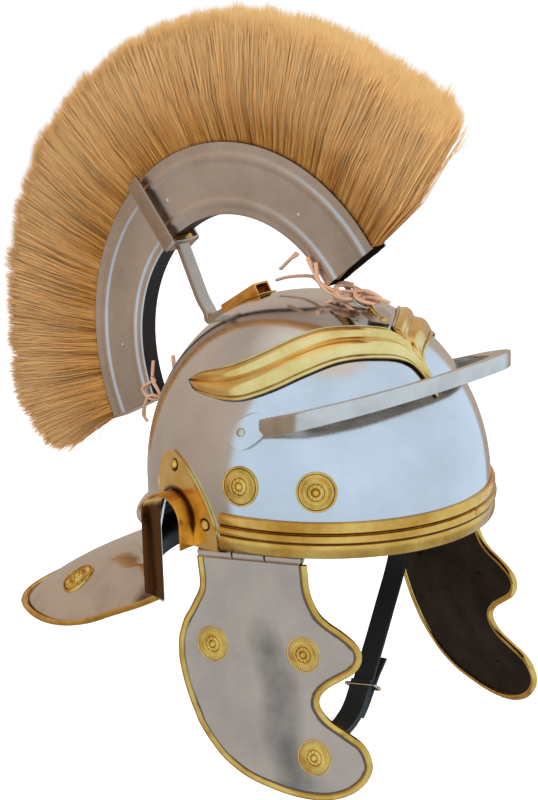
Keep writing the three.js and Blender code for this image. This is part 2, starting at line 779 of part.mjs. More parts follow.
// Length of the hair past the box, as a share of its full length, round the arc
const hairTips = [
  { turn: 0.0, length: 0.74 },
  { turn: 0.045, length: 1.0 },
  { turn: 0.09, length: 1.06 },
  { turn: 0.14, length: 0.97 },
  { turn: 0.24, length: 0.96 },
  { turn: 0.36, length: 0.92 },
  { turn: 0.46, length: 0.85 },
  { turn: 0.62, length: 0.84 },
  { turn: 0.74, length: 0.87 },
  { turn: 0.86, length: 0.94 },
  { turn: 0.94, length: 1.0 },
  { turn: 1.0, length: 1.03 },
];

function tableAt(rows, key, value, at) {
  const next = rows.findIndex((row) => row[key] >= at);
  if (next <= 0) return rows[Math.max(next, 0)][value];
  const [a, b] = [rows[next - 1], rows[next]];
  return lerp(a[value], b[value], (at - a[key]) / (b[key] - a[key]));
}

// Hair of one sector: a pressed root in the box that fans out into locks
function plumeGeometry(sector) {
  const locks = 5;
  const edge = gap / 2 / crestOuter;
  const from = sector / hairSectors;
  const to = (sector + 1) / hairSectors;
  const rootHalf = crestWidth / 2 - crestWall - gap;
  const rootInner = crestInner + crestWall + 3 * gap;
  const rearStop = rad(crestRearAngle) + (crestWall + gap) / crestInner;
  const outer = [];
  const inner = [];
  for (let i = 0; i <= locks * 2; i++) {
    const share = lerp(from, to, i / (locks * 2));
    const bend = i % 2 ? 1 : -1;
    const end = rad(crestFrontAngle) - 0.01;
    let angle = lerp(rearStop, end, share);
    if (i === 0) angle += edge;
    if (i === locks * 2) angle -= edge;
    const tip = hairLength * tableAt(hairTips, 'turn', 'length', share) * (bend > 0 ? 1 : 0.955);
    const lean = -frontLean * clamp((share - 0.9) / 0.1, 0, 1);
    const column = [0, 1, 2, 3, 4, 5].map((k) => {
      const radius = k === 0 ? rootInner : lerp(crestOuter + 1, crestOuter + tip, (k - 1) / 4);
      const half = k < 2 ? rootHalf : lerp(rootHalf, hairSpread / 2, ((k - 1) / 4) ** 0.8);
      const lock = k < 2 ? 0 : hairLockRelief * bend * Math.min(1, (k - 1) / 2);
      const tuck = k === 5 ? 0.55 : 1;
      return { x: (half + lock) * tuck, radius, angle: angle + lean * Math.max(0, (k - 1) / 4) };
    });
    outer.push(column.map((c) => crestPoint(-c.x, c.radius, c.angle)));
    inner.push(column.map((c) => crestPoint(c.x, c.radius, c.angle)));
  }
  return sheet(outer, inner);
}

// Fork: a strip bent to a U round the box, on a stem that turns into the bracket's tang
function forkGeometry() {
  const angle = rad(forkAngle);
  const inside = crestWidth / 2 + crestRib + forkClearance;
  const outside = inside + forkStrip;
  const foot = crestInner - gap - 3;
  const out = V(0, Math.cos(angle), Math.sin(angle));
  const along = V(0, -Math.sin(angle), Math.cos(angle));
  const centre = V(0, crestY, crestZ);
  const block = (x0, x1, r0, r1, w) => {
    const geometry = new THREE.BoxGeometry(x1 - x0, w, r1 - r0);
    const place = new THREE.Matrix4().makeBasis(V(1, 0, 0), along.clone().negate(), out);
    const middle = centre.clone().addScaledVector(out, (r0 + r1) / 2);
    return solidOf(geometry.applyMatrix4(place).translate((x0 + x1) / 2 + middle.x, middle.y, middle.z));
  };
  const arms = block(-outside, -inside, foot, crestOuter + 1, forkStripWidth)
    .add(block(inside, outside, foot, crestOuter + 1, forkStripWidth));
  const base = block(-outside, outside, foot - forkStrip, foot, forkStripWidth);
  const cradle = block(-4, 4, foot - 0.5, crestInner - 3 * gap, forkStripWidth * 0.6);
  const tang = bracketAxis();
  const start = centre.clone().addScaledVector(out, foot - forkStrip + 0.5);
  const heel = tang.rear.clone().addScaledVector(tang.back, 17);
  const spine = [
    start,
    start.clone().lerp(heel, 0.5),
    heel.clone().addScaledVector(tang.back, 1.5).add(V(0, 0, 7)),
    heel,
    tang.rear.clone().addScaledVector(tang.back, 9),
    tang.rear.clone().addScaledVector(tang.back, -bracketLength * 0.7),
  ];
  const loops = spine.map((p, i) => {
    const next = spine[Math.min(i + 1, spine.length - 1)];
    const last = spine[Math.max(i - 1, 0)];
    const forward = next.clone().sub(last).normalize();
    const flat = V(1, 0, 0);
    const normal = forward.clone().cross(flat).normalize();
    const [w, t] = [stemWidth / 2, stemThickness / 2];
    return [[-w, -t], [w, -t], [w, t], [-w, t]].map(([a, b]) => p.clone()
      .addScaledVector(flat, a).addScaledVector(normal, b));
  });
  const square = [[0, 0], [1, 0], [1, 1], [0, 1]].map(([a, b]) => new THREE.Vector2(a, b));
  return geometryOf(arms.add(base).add(cradle).add(solidOf(loft(loops, { profile: square }))));
}

// Axis of the bracket's socket, that the fork's tang lies on
function bracketAxis() {
  const rearY = bracketFrontY + bracketLength;
  const lift = stemThickness / 2 + 2 * gap + bracketWall * 0.6;
  const front = V(0, bracketFrontY, crownZ(0, bracketFrontY) + lift);
  const rear = V(0, rearY, crownZ(0, rearY) + lift);
  const middle = front.clone().lerp(rear, 0.5);
  const bow = crownZ(0, middle.y) + lift - middle.z;
  front.z += bow;
  rear.z += bow;
  return { front, rear, back: rear.clone().sub(front).normalize() };
}

function bracketGeometry() {
  const { front, rear, back } = bracketAxis();
  const up = V(1, 0, 0).cross(back).normalize();
  if (up.z < 0) up.negate();
  const length = front.distanceTo(rear);
  const block = (width, low, high, reach) => {
    const geometry = new THREE.BoxGeometry(width, reach, high - low);
    const place = new THREE.Matrix4().makeBasis(V(1, 0, 0), back, V(1, 0, 0).cross(back));
    const middle = front.clone().lerp(rear, 0.5).addScaledVector(up, (high + low) / 2);
    return solidOf(geometry.applyMatrix4(place).translate(middle.x, middle.y, middle.z));
  };
  const bore = stemThickness / 2 + gap;
  const outer = block(bracketInnerWidth + 2 * bracketWall, -bore - 9, bore + bracketWall, length);
  const hole = block(bracketInnerWidth, -bore, bore, length + 10);
  return geometryOf(outer.subtract(hole).subtract(shellSolidFilled(gap)));
}

// Hook plate on the bowl's middle line, with an eye that the ring hangs in
function hookGeometry(y, z, lean) {
  const skin = V(0, y, z);
  const out = skinNormal(skin);
  const along = V(0, out.z, -out.y).multiplyScalar(lean);
  const across = V(1, 0, 0);
  const outline = [[-0.5, -0.35], [0.5, -0.35], [0.5, 0.2], [0.0, 0.65], [-0.5, 0.2]];
  const plateLoop = (stand) => outline.map(([a, b]) => {
    const p = skin.clone().addScaledVector(across, a * hookPlateWidth).addScaledVector(along, b * hookPlateLength);
    return p.addScaledVector(out, stand);
  });
  const profile = outline.map(([a, b]) => new THREE.Vector2(a, b));
  const plate = solidOf(loft([plateLoop(gap + 1.2), plateLoop(gap + 1.2 + steelSheet)], { profile }));
  const foot = solidOf(loft([plateLoop(-2), plateLoop(gap + 1.3)], { profile })).subtract(shellSolidFilled(gap));
  const eyeAt = skin.clone().addScaledVector(along, -0.35 * hookPlateLength - 0.6);
  eyeAt.addScaledVector(out, gap + eyeRadius + eyeWire + 0.3);
  const eye = new THREE.TorusGeometry(eyeRadius, eyeWire, 5, 9);
  eye.rotateY(Math.PI / 2);
  eye.translate(eyeAt.x, eyeAt.y, eyeAt.z);
  return { geometry: geometryOf(plate.add(foot).add(solidOf(closedFrom(eye)))), eyeAt, along, out };
}

const closedFrom = (geometry) => closedGeometry(pointsOf(geometry), Array.from(geometry.index.array));

// Wire ring through a hook's eye, leaning away from the plate
function ringGeometry(hook, tilt) {
  const away = hook.along.clone().multiplyScalar(-1);
  const lean = away.clone().applyAxisAngle(V(1, 0, 0), tilt);
  const centre = hook.eyeAt.clone().addScaledVector(lean, ringRadius);
  const torus = new THREE.TorusGeometry(ringRadius, ringWire, 5, 14);
  const across = V(1, 0, 0);
  const normal = across.clone().cross(lean).normalize();
  torus.applyMatrix4(new THREE.Matrix4().makeBasis(across, lean, normal));
  torus.translate(centre.x, centre.y, centre.z);
  return { geometry: closedFrom(torus), centre, lean, normal };
}

// Cheek guard outline, one row for each level from the hinge down.
// down is a share of the guard's depth, rear and front are shares of its reach each side of its middle.
const guardRows = [
  { down: 0.0, rear: 0.521, front: -0.544 },
  { down: 0.045, rear: 0.508, front: -0.555 },
  { down: 0.1, rear: 0.493, front: -0.571 },
  { down: 0.148, rear: 0.499, front: -0.606 },
  { down: 0.203, rear: 0.553, front: -0.676 },
  { down: 0.24, rear: 0.592, front: -0.773 },
  { down: 0.277, rear: 0.637, front: -0.921 },
  { down: 0.324, rear: 0.669, front: -1.06 },
  { down: 0.376, rear: 0.69, front: -1.105 },
  { down: 0.432, rear: 0.685, front: -1.056 },
  { down: 0.474, rear: 0.673, front: -0.938 },
  { down: 0.518, rear: 0.647, front: -0.8 },
  { down: 0.563, rear: 0.616, front: -0.725 },
  { down: 0.608, rear: 0.578, front: -0.737 },
  { down: 0.657, rear: 0.531, front: -0.846 },
  { down: 0.699, rear: 0.482, front: -1.026 },
  { down: 0.745, rear: 0.427, front: -1.195 },
  { down: 0.82, rear: 0.293, front: -1.28 },
  { down: 0.89, rear: 0.125, front: -1.243 },
  { down: 0.949, rear: -0.11, front: -1.124 },
  { down: 0.985, rear: -0.395, front: -0.97 },
  { down: 1.0, rear: -0.602, front: -0.805 },
];

const hingeRear = V(-hingeRearX, hingeRearY, hingeRearZ);
const hingeFront = V(-hingeFrontX, hingeFrontY, hingeFrontZ);
const hingeLine = hingeFront.clone().sub(hingeRear);
const hingeLength = hingeLine.length();
const hingeWay = hingeLine.clone().normalize();
const guardTop = knuckleRadius + gap;
const guardMiddleY = (hingeRearY + hingeFrontY) / 2;

// Flat outline of the guard in (y, depth below the hinge), pulled in from its rim by a margin
function guardOutline(margin) {
  const rear = guardRows.map((row) => [row.rear, row.down]);
  const front = guardRows.map((row) => [row.front, row.down]).reverse();
  const flat = [...rear, ...front].map(([y, down]) => new THREE.Vector2(
    guardMiddleY + y * guardReach,
    guardTop + down * (guardDepth - guardTop),
  ));
  return flat.map((p, i) => {
    const last = flat[(i + flat.length - 1) % flat.length];
    const next = flat[(i + 1) % flat.length];
    const way = next.clone().sub(last).normalize();
    const moved = p.clone().add(new THREE.Vector2(-way.y, way.x).multiplyScalar(margin));
    const top = i === 0 || i === flat.length - 1;
    return top ? new THREE.Vector2(p.x + Math.sign(guardMiddleY - p.x) * margin, p.y) : moved;
  });
}

// Skin of the guard at (y, depth), splayed out from the hinge and a little hollow
function guardPoint(flat, stand = 0) {
  const along = (flat.x - hingeRearY) / (hingeFrontY - hingeRearY);
  const base = hingeRear.clone().addScaledVector(hingeLine, along);
  const share = flat.y / guardDepth;
  const middle = (flat.x - guardMiddleY) / guardReach;
  const hollow = guardHollow * Math.sin(Math.PI * clamp(share, 0, 1)) * (1 - 0.5 * middle * middle);
  return V(base.x - guardSplay * flat.y + hollow - stand, flat.x, base.z - flat.y);
}

function guardPlateGeometry() {
  const flat = guardOutline(2 * cheekRimRadius + 3 * gap);
  const rows = guardRows.length;
  const shares = [0, 0.33, 0.67, 1];
  const grid = (stand) => Array.from({ length: rows }, (_, i) => {
    const [rear, front] = [flat[i], flat[flat.length - 1 - i]];
    return shares.map((share) => guardPoint(rear.clone().lerp(front, share), stand));
  });
  return sheet(grid(steelSheet / 2), grid(-steelSheet / 2));
}

// One knuckle between two shares of the hinge, bored for the pin
function knuckle(from, to) {
  const length = hingeLength * (to - from) - gap;
  const middle = hingeRear.clone().addScaledVector(hingeLine, (from + to) / 2);
  const turn = new THREE.Quaternion().setFromUnitVectors(V(0, 1, 0), hingeWay);
  const bore = pinRadius + gap;
  const profile = [[bore, 0], [knuckleRadius, 0], [knuckleRadius, length], [bore, length], [bore, 0]]
    .map(([r, h]) => new THREE.Vector2(r, h - length / 2));
  const lathe = new THREE.LatheGeometry(profile, 8);
  return solidOf(closedFrom(lathe).applyQuaternion(turn).translate(middle.x, middle.y, middle.z));
}

function guardTab(from, to) {
  const ends = [from, to].map((share) => hingeRear.clone().addScaledVector(hingeLine, share));
  const half = steelSheet / 2;
  const loops = [ends[0].clone().addScaledVector(hingeWay, 0.3), ends[1].clone().addScaledVector(hingeWay, -0.3)]
    .map((p) => [[-half, -guardTop - 2], [half, -guardTop - 2], [half, -pinRadius - gap - 0.1], [-half, -pinRadius - gap - 0.1]]
      .map(([x, z]) => V(p.x + x, p.y, p.z + z)));
  const square = [[0, 0], [1, 0], [1, 1], [0, 1]].map(([a, b]) => new THREE.Vector2(a, b));
  return solidOf(loft(loops, { profile: square }));
}

const middleThird = [0.345, 0.66];

function cheekGuardGeometry() {
  const plate = solidOf(guardPlateGeometry());
  return geometryOf(plate.add(knuckle(...middleThird)).add(guardTab(...middleThird)));
}

// Rolled brass rim round the guard, open at the hinge
function cheekRimGeometry() {
  const points = guardOutline(cheekRimRadius).map((p) => guardPoint(p));
  return wire(points, cheekRimRadius, { steps: 40, sides: 4 });
}

// Hinge leaf inside the rim of the bowl, with the two outer knuckles
function hingeLeafGeometry() {
  const half = steelSheet / 2;
  const lift = pinRadius + gap + 0.2;
  const knee = -1;
  const shares = [0.02, 0.2, 0.4, 0.6, 0.8, 0.98];
  const loops = shares.map((share) => {
    const p = hingeRear.clone().addScaledVector(hingeLine, share);
    const [width, length] = [bowlHalfWidth - bowlWall - gap, bowlHalfLength - bowlWall - gap];
    const wall = -width * Math.sqrt(1 - (p.y / length) ** 2) + gap;
    return [
      V(p.x - half, p.y, p.z + lift), V(p.x + half, p.y, p.z + lift),
      V(wall + steelSheet, p.y, knee), V(wall + steelSheet, p.y, knee + leafHeight),
      V(wall, p.y, knee + leafHeight), V(wall, p.y, knee),
    ];
  });
  const face = [[0, 0], [1, 0], [1.5, 1], [1.5, 3], [0.5, 3], [0.5, 1]].map(([a, b]) => new THREE.Vector2(a, b));
  const leaf = solidOf(loft(loops, { profile: face }));
  const square = [[0, 0], [1, 0], [1, 1], [0, 1]].map(([a, b]) => new THREE.Vector2(a, b));
  const [from, to] = middleThird;
  const room = [from - 0.02, to + 0.02].map((share) => hingeRear.clone().addScaledVector(hingeLine, share));
  const notch = loft(room.map((p) => [[-9, -6], [9, -6], [9, knuckleRadius + gap], [-9, knuckleRadius + gap]]
    .map(([x, z]) => V(p.x + x, p.y, p.z + z))), { profile: square });
  return geometryOf(leaf.subtract(solidOf(notch)).add(knuckle(0, from)).add(knuckle(to, 1)));
}

function pinGeometry() {
  const length = hingeLength - 1;
  const middle = hingeRear.clone().addScaledVector(hingeLine, 0.5);
  const turn = new THREE.Quaternion().setFromUnitVectors(V(0, 1, 0), hingeWay);
  const rod = new THREE.CylinderGeometry(pinRadius, pinRadius, length, 10);
  return closedFrom(rod).applyQuaternion(turn).translate(middle.x, middle.y, middle.z);
}

// Chin strap: a loop from one hinge, under the chin and up to the other
const strapRoute = [
  { side: 0.951, back: 2, down: -9 },
  { side: 0.942, back: 2, down: -3 },
  { side: 0.887, back: 2, down: 8 },
  { side: 0.88, back: 3, down: 30 },
  { side: 0.83, back: 4, down: 62 },
  { side: 0.64, back: 1, down: 92 },
  { side: 0.42, back: -3, down: 122 },
  { side: 0.17, back: -9, down: 147 },
  { side: -0.12, back: -10, down: 152 },
  { side: -0.42, back: -3, down: 130 },
  { side: -0.64, back: 1, down: 95 },
  { side: -0.83, back: 4, down: 62 },
  { side: -0.88, back: 3, down: 30 },
  { side: -0.887, back: 2, down: 8 },
  { side: -0.942, back: 2, down: -3 },
  { side: -0.951, back: 2, down: -9 },
];
const strapHalfSpan = bowlHalfWidth;

const strapCurve = new THREE.CatmullRomCurve3(
  strapRoute.map((row) => V(row.side * strapHalfSpan, row.back, -row.down)), false, 'centripetal');

function strapGeometry() {
  const steps = 26;
  const loops = Array.from({ length: steps + 1 }, (_, i) => {
    const p = strapCurve.getPointAt(i / steps);
    const forward = strapCurve.getTangentAt(i / steps);
    const broad = V(0, 1, 0).addScaledVector(forward, -forward.y).normalize();
    const thin = forward.clone().cross(broad);
    const [w, t] = [strapWidth / 2, strapThickness / 2];
    return [[-w, -t], [w, -t], [w, t], [-w, t]].map(([a, b]) => p.clone()
      .addScaledVector(broad, a).addScaledVector(thin, b));
  });
  const square = [[0, 0], [1, 0], [1, 1], [0, 1]].map(([a, b]) => new THREE.Vector2(a, b));
  return loft(loops, { profile: square });
}

// Wire buckle frame that stands round the strap
const buckleShare = 0.4;
function buckleGeometry() {
  const p = strapCurve.getPointAt(buckleShare);
  const forward = strapCurve.getTangentAt(buckleShare);
  const broad = V(0, 1, 0).addScaledVector(forward, -forward.y).normalize();
  const thin = forward.clone().cross(broad);
  const [w, t] = [buckleSpan / 2, strapThickness / 2 + buckleWire + gap];
  const loop = [[-w, -t], [0, -t], [w, -t], [w, t], [0, t], [-w, t]].map(([a, b]) => p.clone()
    .addScaledVector(broad, a).addScaledVector(thin, b));
  const steps = 14;
  const curve = new THREE.CatmullRomCurve3(loop, true, 'catmullrom', 0.15);
  const rings = Array.from({ length: steps }, (_, i) => {
    const q = curve.getPointAt(i / steps);
    const way = curve.getTangentAt(i / steps);
    const side = forward.clone().cross(way).normalize();
    return Array.from({ length: 5 }, (_, j) => {
      const a = (2 * Math.PI * j) / 5;
      return q.clone().addScaledVector(side, buckleWire * Math.cos(a)).addScaledVector(forward, buckleWire * Math.sin(a));
    });
  });
  return loft(rings, { ring: true });
}

// Bowl, bands and guards
add('bowl', bowlGeometry(), steel());
add('brow_band', browBandGeometry(), brass());
addPair('ear_guard', earGuardGeometry(), brass);
const earRivets = [
  [earCentreY + earRivetBack, earSpringZ + earRadius + earRivetRise],
  [earCentreY - earRadius - earRivetFront, earSpringZ],
];
earRivets.forEach(([y, z], i) => {
  const skin = skinAt(y, z);
  const out = skinNormal(skin);
  const at = skin.clone().addScaledVector(out, 2 * gap + brassSheet);
  addPair(`ear_rivet_${i + 1}`, seated(rivetGeometry(at, out, rivetRadius, rivetHeight, seatDepth), 2 * gap + brassSheet), () => brass(0xd8b45a));
});
add('neck_guard_rim', wire(neckRows.map((row) => neckRimPoint(row)), rimRadius, { steps: 28 }), brass());
add('brow_ornament', browOrnamentGeometry(), brass(0xd0a040));
add('peak', peakGeometry(), steel(0xc4bdb6));
{
  const skin = skinAt(peakRearY, peakRearZ);
  const out = skinNormal(skin);
  const at = skin.clone().addScaledVector(out, 2 * gap + peakBar);
  addPair('peak_rivet', rivetGeometry(at, out, 3, 2), steel);
}

// Rosettes on the bowl, the neck guard and the cheek guards
// Places as shares of the bowl's half length and height
const bowlRosettes = [['rear', -0.229, 0.286], ['front', -0.606, 0.286]];
for (const [place, back, rise] of bowlRosettes) {
  const skin = skinAt(back * bowlHalfLength, rise * bowlHeight);
  const out = skinNormal(skin);
  addPair(`bowl_rosette_${place}`, seated(rosetteGeometry(skin, out, ontoSkin(out), rosetteRadius, seatDepth), gap), () => brass(0xd6a93f));
}
{
  const row = neckRim[6];
  const at = neckPoint(row, 0.62);
  const beside = neckPoint(neckRim[7], 0.62).sub(neckPoint(neckRim[5], 0.62));
  const along = neckPoint(row, 0.75).sub(neckPoint(row, 0.5));
  const out = along.cross(beside).normalize();
  if (out.z < 0) out.negate();
  addPair('neck_rosette', rosetteGeometry(at, out, (p) => p.clone()), () => brass(0xd6a93f));
}
const guardRosettes = [['rear', -2.3, 54.9], ['front', -60.2, 55.2], ['low', -71.7, 114.3]];
for (const [place, y, depth] of guardRosettes) {
  const flat = new THREE.Vector2(y, depth);
  const at = guardPoint(flat, steelSheet / 2);
  const dy = guardPoint(new THREE.Vector2(y + 2, depth)).sub(guardPoint(new THREE.Vector2(y - 2, depth)));
  const dz = guardPoint(new THREE.Vector2(y, depth + 2)).sub(guardPoint(new THREE.Vector2(y, depth - 2)));
  const out = dy.cross(dz).normalize();
  if (out.x > 0) out.negate();
  const onto = (p) => {
    const along = (p.y - hingeRearY) / (hingeFrontY - hingeRearY);
    const hingeZ = lerp(hingeRearZ, hingeFrontZ, along);
    return guardPoint(new THREE.Vector2(p.y, hingeZ - p.z), steelSheet / 2 + 0.1);
  };
  addPair(`cheek_rosette_${place}`, rosetteGeometry(at, out, onto, cheekRosetteRadius), () => brass(0xd6a93f));
}

// Crest
add('crest_bracket', bracketGeometry(), brass(0xb98d35));
add('crest_fork', forkGeometry(), steel(0xaaa49d));
add('crest_box', crestBoxGeometry(), steel(0xb4b0ab));
for (let i = 0; i < hairSectors; i++) add(`plume_${i + 1}`, plumeGeometry(i), hair());

// Hooks, rings and ties
const frontHookY = -0.44 * bowlHalfLength;
const frontHook = hookGeometry(frontHookY, crownZ(0, frontHookY), -1);
add('front_hook', frontHook.geometry, steel());
const frontRing = ringGeometry(frontHook, 0.15);
add('front_ring', frontRing.geometry, steel(0xc9c2a8));
const rearHookZ = 0.3243 * bowlHeight;
const rearHook = hookGeometry(bowlHalfLength * domeReach(rearHookZ), rearHookZ, 1);
add('rear_hook', rearHook.geometry, steel());
const rearRing = ringGeometry(rearHook, -0.6);
add('rear_ring', rearRing.geometry, steel(0xc9c2a8));

// Thong that clasps the end of the crest box and wraps the far wire of its ring
function tieGeometry(ring, angle) {
  const half = crestWidth / 2 + crestRib + thongRadius + 3 * gap;
  const up = ring.normal.z > 0 ? ring.normal.clone() : ring.normal.clone().negate();
  const past = ringWire + thongRadius + 3 * gap;
  const byRing = (x, along, above) => ring.centre.clone()
    .addScaledVector(ring.lean, ringRadius + along * past)
    .addScaledVector(up, above * past)
    .add(V(x, 0, 0));
  const side = (sign) => [7, -2].map((depth) => crestPoint(sign * half, crestInner + depth, angle));
  const points = [
    ...side(-1), byRing(-4.6, 0.6, 1.2), byRing(-2.2, -0.9, 0.6), byRing(-0.8, -0.75, -0.8),
    byRing(0.8, 0.75, -0.8), byRing(2.2, 1.1, 0.5), ...side(1).reverse(),
  ];
  return wire(points, thongRadius, { steps: 24, sides: 4 });
}
add('front_tie', tieGeometry(frontRing, rad(crestFrontAngle - 2)), leather(0xc99a7a));
add('rear_tie', tieGeometry(rearRing, rad(crestRearAngle + 8)), leather(0xc99a7a));

// Cheek guards
addPair('hinge_leaf', hingeLeafGeometry(), steel);
addPair('hinge_pin', pinGeometry(), steel);
addPair('cheek_guard', cheekGuardGeometry(), steel);
addPair('cheek_rim', cheekRimGeometry(), brass);

// Chin strap
add('chin_strap', strapGeometry(), leather(0x161412));
add('chin_buckle', buckleGeometry(), steel());

export default helmet;
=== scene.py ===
"""Roman legionary helmet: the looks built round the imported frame, in metres, +Z up, brow towards -Y."""
from math import cos, pi, radians, sin

import bpy
import numpy as np
from mathutils import Matrix, Vector


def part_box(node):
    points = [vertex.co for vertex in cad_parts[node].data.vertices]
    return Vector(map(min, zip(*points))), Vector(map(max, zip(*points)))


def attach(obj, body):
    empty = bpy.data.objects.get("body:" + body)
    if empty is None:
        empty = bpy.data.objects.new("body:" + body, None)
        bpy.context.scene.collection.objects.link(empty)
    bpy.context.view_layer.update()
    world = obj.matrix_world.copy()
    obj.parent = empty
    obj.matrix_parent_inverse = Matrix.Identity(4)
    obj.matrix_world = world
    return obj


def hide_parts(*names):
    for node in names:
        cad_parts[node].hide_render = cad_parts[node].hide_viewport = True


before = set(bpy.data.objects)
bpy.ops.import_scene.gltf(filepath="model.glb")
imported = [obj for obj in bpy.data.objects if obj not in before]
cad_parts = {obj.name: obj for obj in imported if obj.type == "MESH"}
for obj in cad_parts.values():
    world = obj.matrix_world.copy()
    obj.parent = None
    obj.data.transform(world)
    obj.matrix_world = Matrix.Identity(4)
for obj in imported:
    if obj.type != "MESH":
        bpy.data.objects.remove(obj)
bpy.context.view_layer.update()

bl_info = {
    "name": "Roman legionary helmet",
    "version": (1, 0, 0),
    "blender": (4, 5, 0),
    "location": "View3D > Sidebar > Helmet",
    "description": "Builds a legionary helmet with a hair crest, its metal finishes and its studio",
    "category": "Add Mesh",
}

MM = 0.001

# Forms shared with the frame, in millimetres
WALL = 1.5
GAP = 0.3
HALF_WIDTH = 98.0
HALF_LENGTH = 109.0
HEIGHT = 129.5
FLATNESS = 0.047
SPRING = 17.5
FULLNESS = 1.064
NAPE_DROP = 47.0
EAR_Y, EAR_RADIUS, EAR_Z = 24.0, 15.5, 11.0
CREST_Y, CREST_Z = 54.8, 83.0
CREST_OUTER, CREST_INNER, CREST_HALF = 132.5, 88.5, 6.5
CREST_REAR, CREST_FRONT = radians(-26), radians(143.5)
GUARD_DEPTH, GUARD_REACH, GUARD_TOP = 138.6, 64.0, 2.9
HINGE_REAR = np.array([-95.5, 8.0, -8.2])
HINGE_FRONT = np.array([-78.4, -57.0, -4.0])
SIDES = ("right", "left")
CHEEK_SPOTS = {"rear": (-2.3, 54.9), "front": (-60.2, 55.2), "low": (-71.7, 114.3)}


# Point helpers, all on arrays of millimetres

def xyz(x, y, z):
    """Three arrays joined to points"""
    return np.stack(np.broadcast_arrays(np.asarray(x, float), y, z), axis=-1)


def unit(v):
    """Vectors of length one"""
    return v / np.maximum(np.linalg.norm(v, axis=-1, keepdims=True), 1e-9)


def smooth(a, b, x):
    """0 up to a, 1 from b, eased between"""
    t = np.clip((x - a) / (b - a), 0, 1)
    return t * t * (3 - 2 * t)


def curve(points, count, closed=False):
    """Points at even steps along a smooth line through the given ones"""
    p = np.asarray(points, float)
    if closed:
        p = np.concatenate([p[-1:], p, p[:2]])
    else:
        p = np.concatenate([2 * p[:1] - p[1:2], p, 2 * p[-1:] - p[-2:-1]])
    t = np.linspace(0, 1, 24, endpoint=False)[:, None]
    fine = []
    for a, b, c, d in zip(p[:-3], p[1:-2], p[2:-1], p[3:]):
        fine.append(0.5 * (2 * b + (c - a) * t + (2 * a - 5 * b + 4 * c - d) * t ** 2
                           + (3 * b - a - 3 * c + d) * t ** 3))
    fine = np.concatenate(fine + [p[-2:-1]])
    run = np.concatenate([[0], np.cumsum(np.linalg.norm(np.diff(fine, axis=0), axis=1))])
    at = np.linspace(0, run[-1], count, endpoint=not closed)
    return np.stack([np.interp(at, run, fine[:, k]) for k in range(p.shape[1])], axis=1)


def dome_rise(sine):
    """Rise of the dome for the sine of its lift: round below, pressed flatter at the crown"""
    return (sine - FLATNESS * sine ** 8) / (1 - FLATNESS)


def dome_reach(z):
    """Plan radius of the dome at a height, as a share of its foot"""
    share = np.clip((np.asarray(z, float) - SPRING) / (HEIGHT - SPRING), 0, 1)
    sine = share
    for _ in range(40):
        sine = share * (1 - FLATNESS) + FLATNESS * sine ** 8
    return np.sqrt(np.maximum(1 - sine ** 2, 0)) ** FULLNESS


def nape_flare(turn, z):
    """How far the embossed nape and its lips stand out of the plain wall"""
    back = np.clip((np.sin(turn) - 0.42) / 0.3, 0, 1)
    bump = lambda centre, half: np.where(np.abs(z - centre) < half,
                                         np.cos((z - centre) / half * pi / 2) ** 2, 0)
    beside = np.clip((np.sin(turn) * HALF_LENGTH - EAR_Y - EAR_RADIUS) / (EAR_RADIUS * 1.6), -1, 1)
    lip = np.cos(beside * pi / 2) ** 2 * np.clip((SPRING - z) / SPRING, 0, 1)
    return 8 * smooth(0, 1, back) * (bump(-7, 9) + bump(-26, 12)) + 5 * lip


def shell(turn, z, stand=0.0):
    """Outer skin of the bowl from the foot of the nape to just under the crown"""
    out = stand + np.where(z < SPRING, nape_flare(turn, z), 0)
    reach = dome_reach(z)
    return xyz((HALF_WIDTH + out) * reach * np.cos(turn), (HALF_LENGTH + out) * reach * np.sin(turn),
               z + stand * np.clip((z - SPRING) / (HEIGHT - SPRING), 0, 1))


def side_skin(y, z, stand=0.0):
    """Skin of the wearer's right side over a place seen from the side"""
    reach = dome_reach(z)
    turn = pi - np.arcsin(np.clip(y / (HALF_LENGTH * reach), -1, 1))
    return shell(turn, np.broadcast_to(z, np.shape(turn)), stand)


def crown(x, y):
    """Height of the dome over a place in plan"""
    reach = np.clip(np.hypot(x / HALF_WIDTH, y / HALF_LENGTH), 0, 1)
    sine = np.sqrt(np.maximum(1 - reach ** (2 / FULLNESS), 0))
    return SPRING + (HEIGHT - SPRING) * dome_rise(sine)


def skin_normal(p):
    """Outward direction of the dome"""
    up = np.maximum(p[..., 2] - SPRING, 0) / (HEIGHT - SPRING) ** 2
    return unit(xyz(p[..., 0] / HALF_WIDTH ** 2, p[..., 1] / HALF_LENGTH ** 2, up))


def crest(x, radius, angle):
    """Point of the crest's arc"""
    return xyz(x, CREST_Y + radius * np.cos(angle), CREST_Z + radius * np.sin(angle))


def section_round(corners, radius, steps=4):
    """A flat outline with its corners rounded"""
    c = np.asarray(corners, float)
    out = []
    for i in range(len(c)):
        a, b, d = c[i - 1], c[i], c[(i + 1) % len(c)]
        r = min(radius, np.linalg.norm(a - b) / 2.1, np.linalg.norm(d - b) / 2.1)
        p, q = b + unit(a - b) * r, b + unit(d - b) * r
        for t in np.linspace(0, 1, steps):
            out.append((1 - t) ** 2 * p + 2 * t * (1 - t) * b + t * t * q)
    return np.array(out)


def ring_section(radius, sides=12):
    """A round outline"""
    a = np.linspace(0, 2 * pi, sides, endpoint=False)
    return np.stack([radius * np.cos(a), radius * np.sin(a)], axis=1)


# Mesh helpers

def deselect():
    """Selects nothing"""
    bpy.ops.object.select_all(action="DESELECT")


def edit(obj):
    """Opens one object alone in edit mode, all of it selected"""
    deselect()
    obj.select_set(True)
    bpy.context.view_layer.objects.active = obj
    bpy.ops.object.mode_set(mode="EDIT")
    bpy.ops.mesh.select_all(action="SELECT")


def leave():
    """Back to object mode"""
    bpy.ops.object.mode_set(mode="OBJECT")


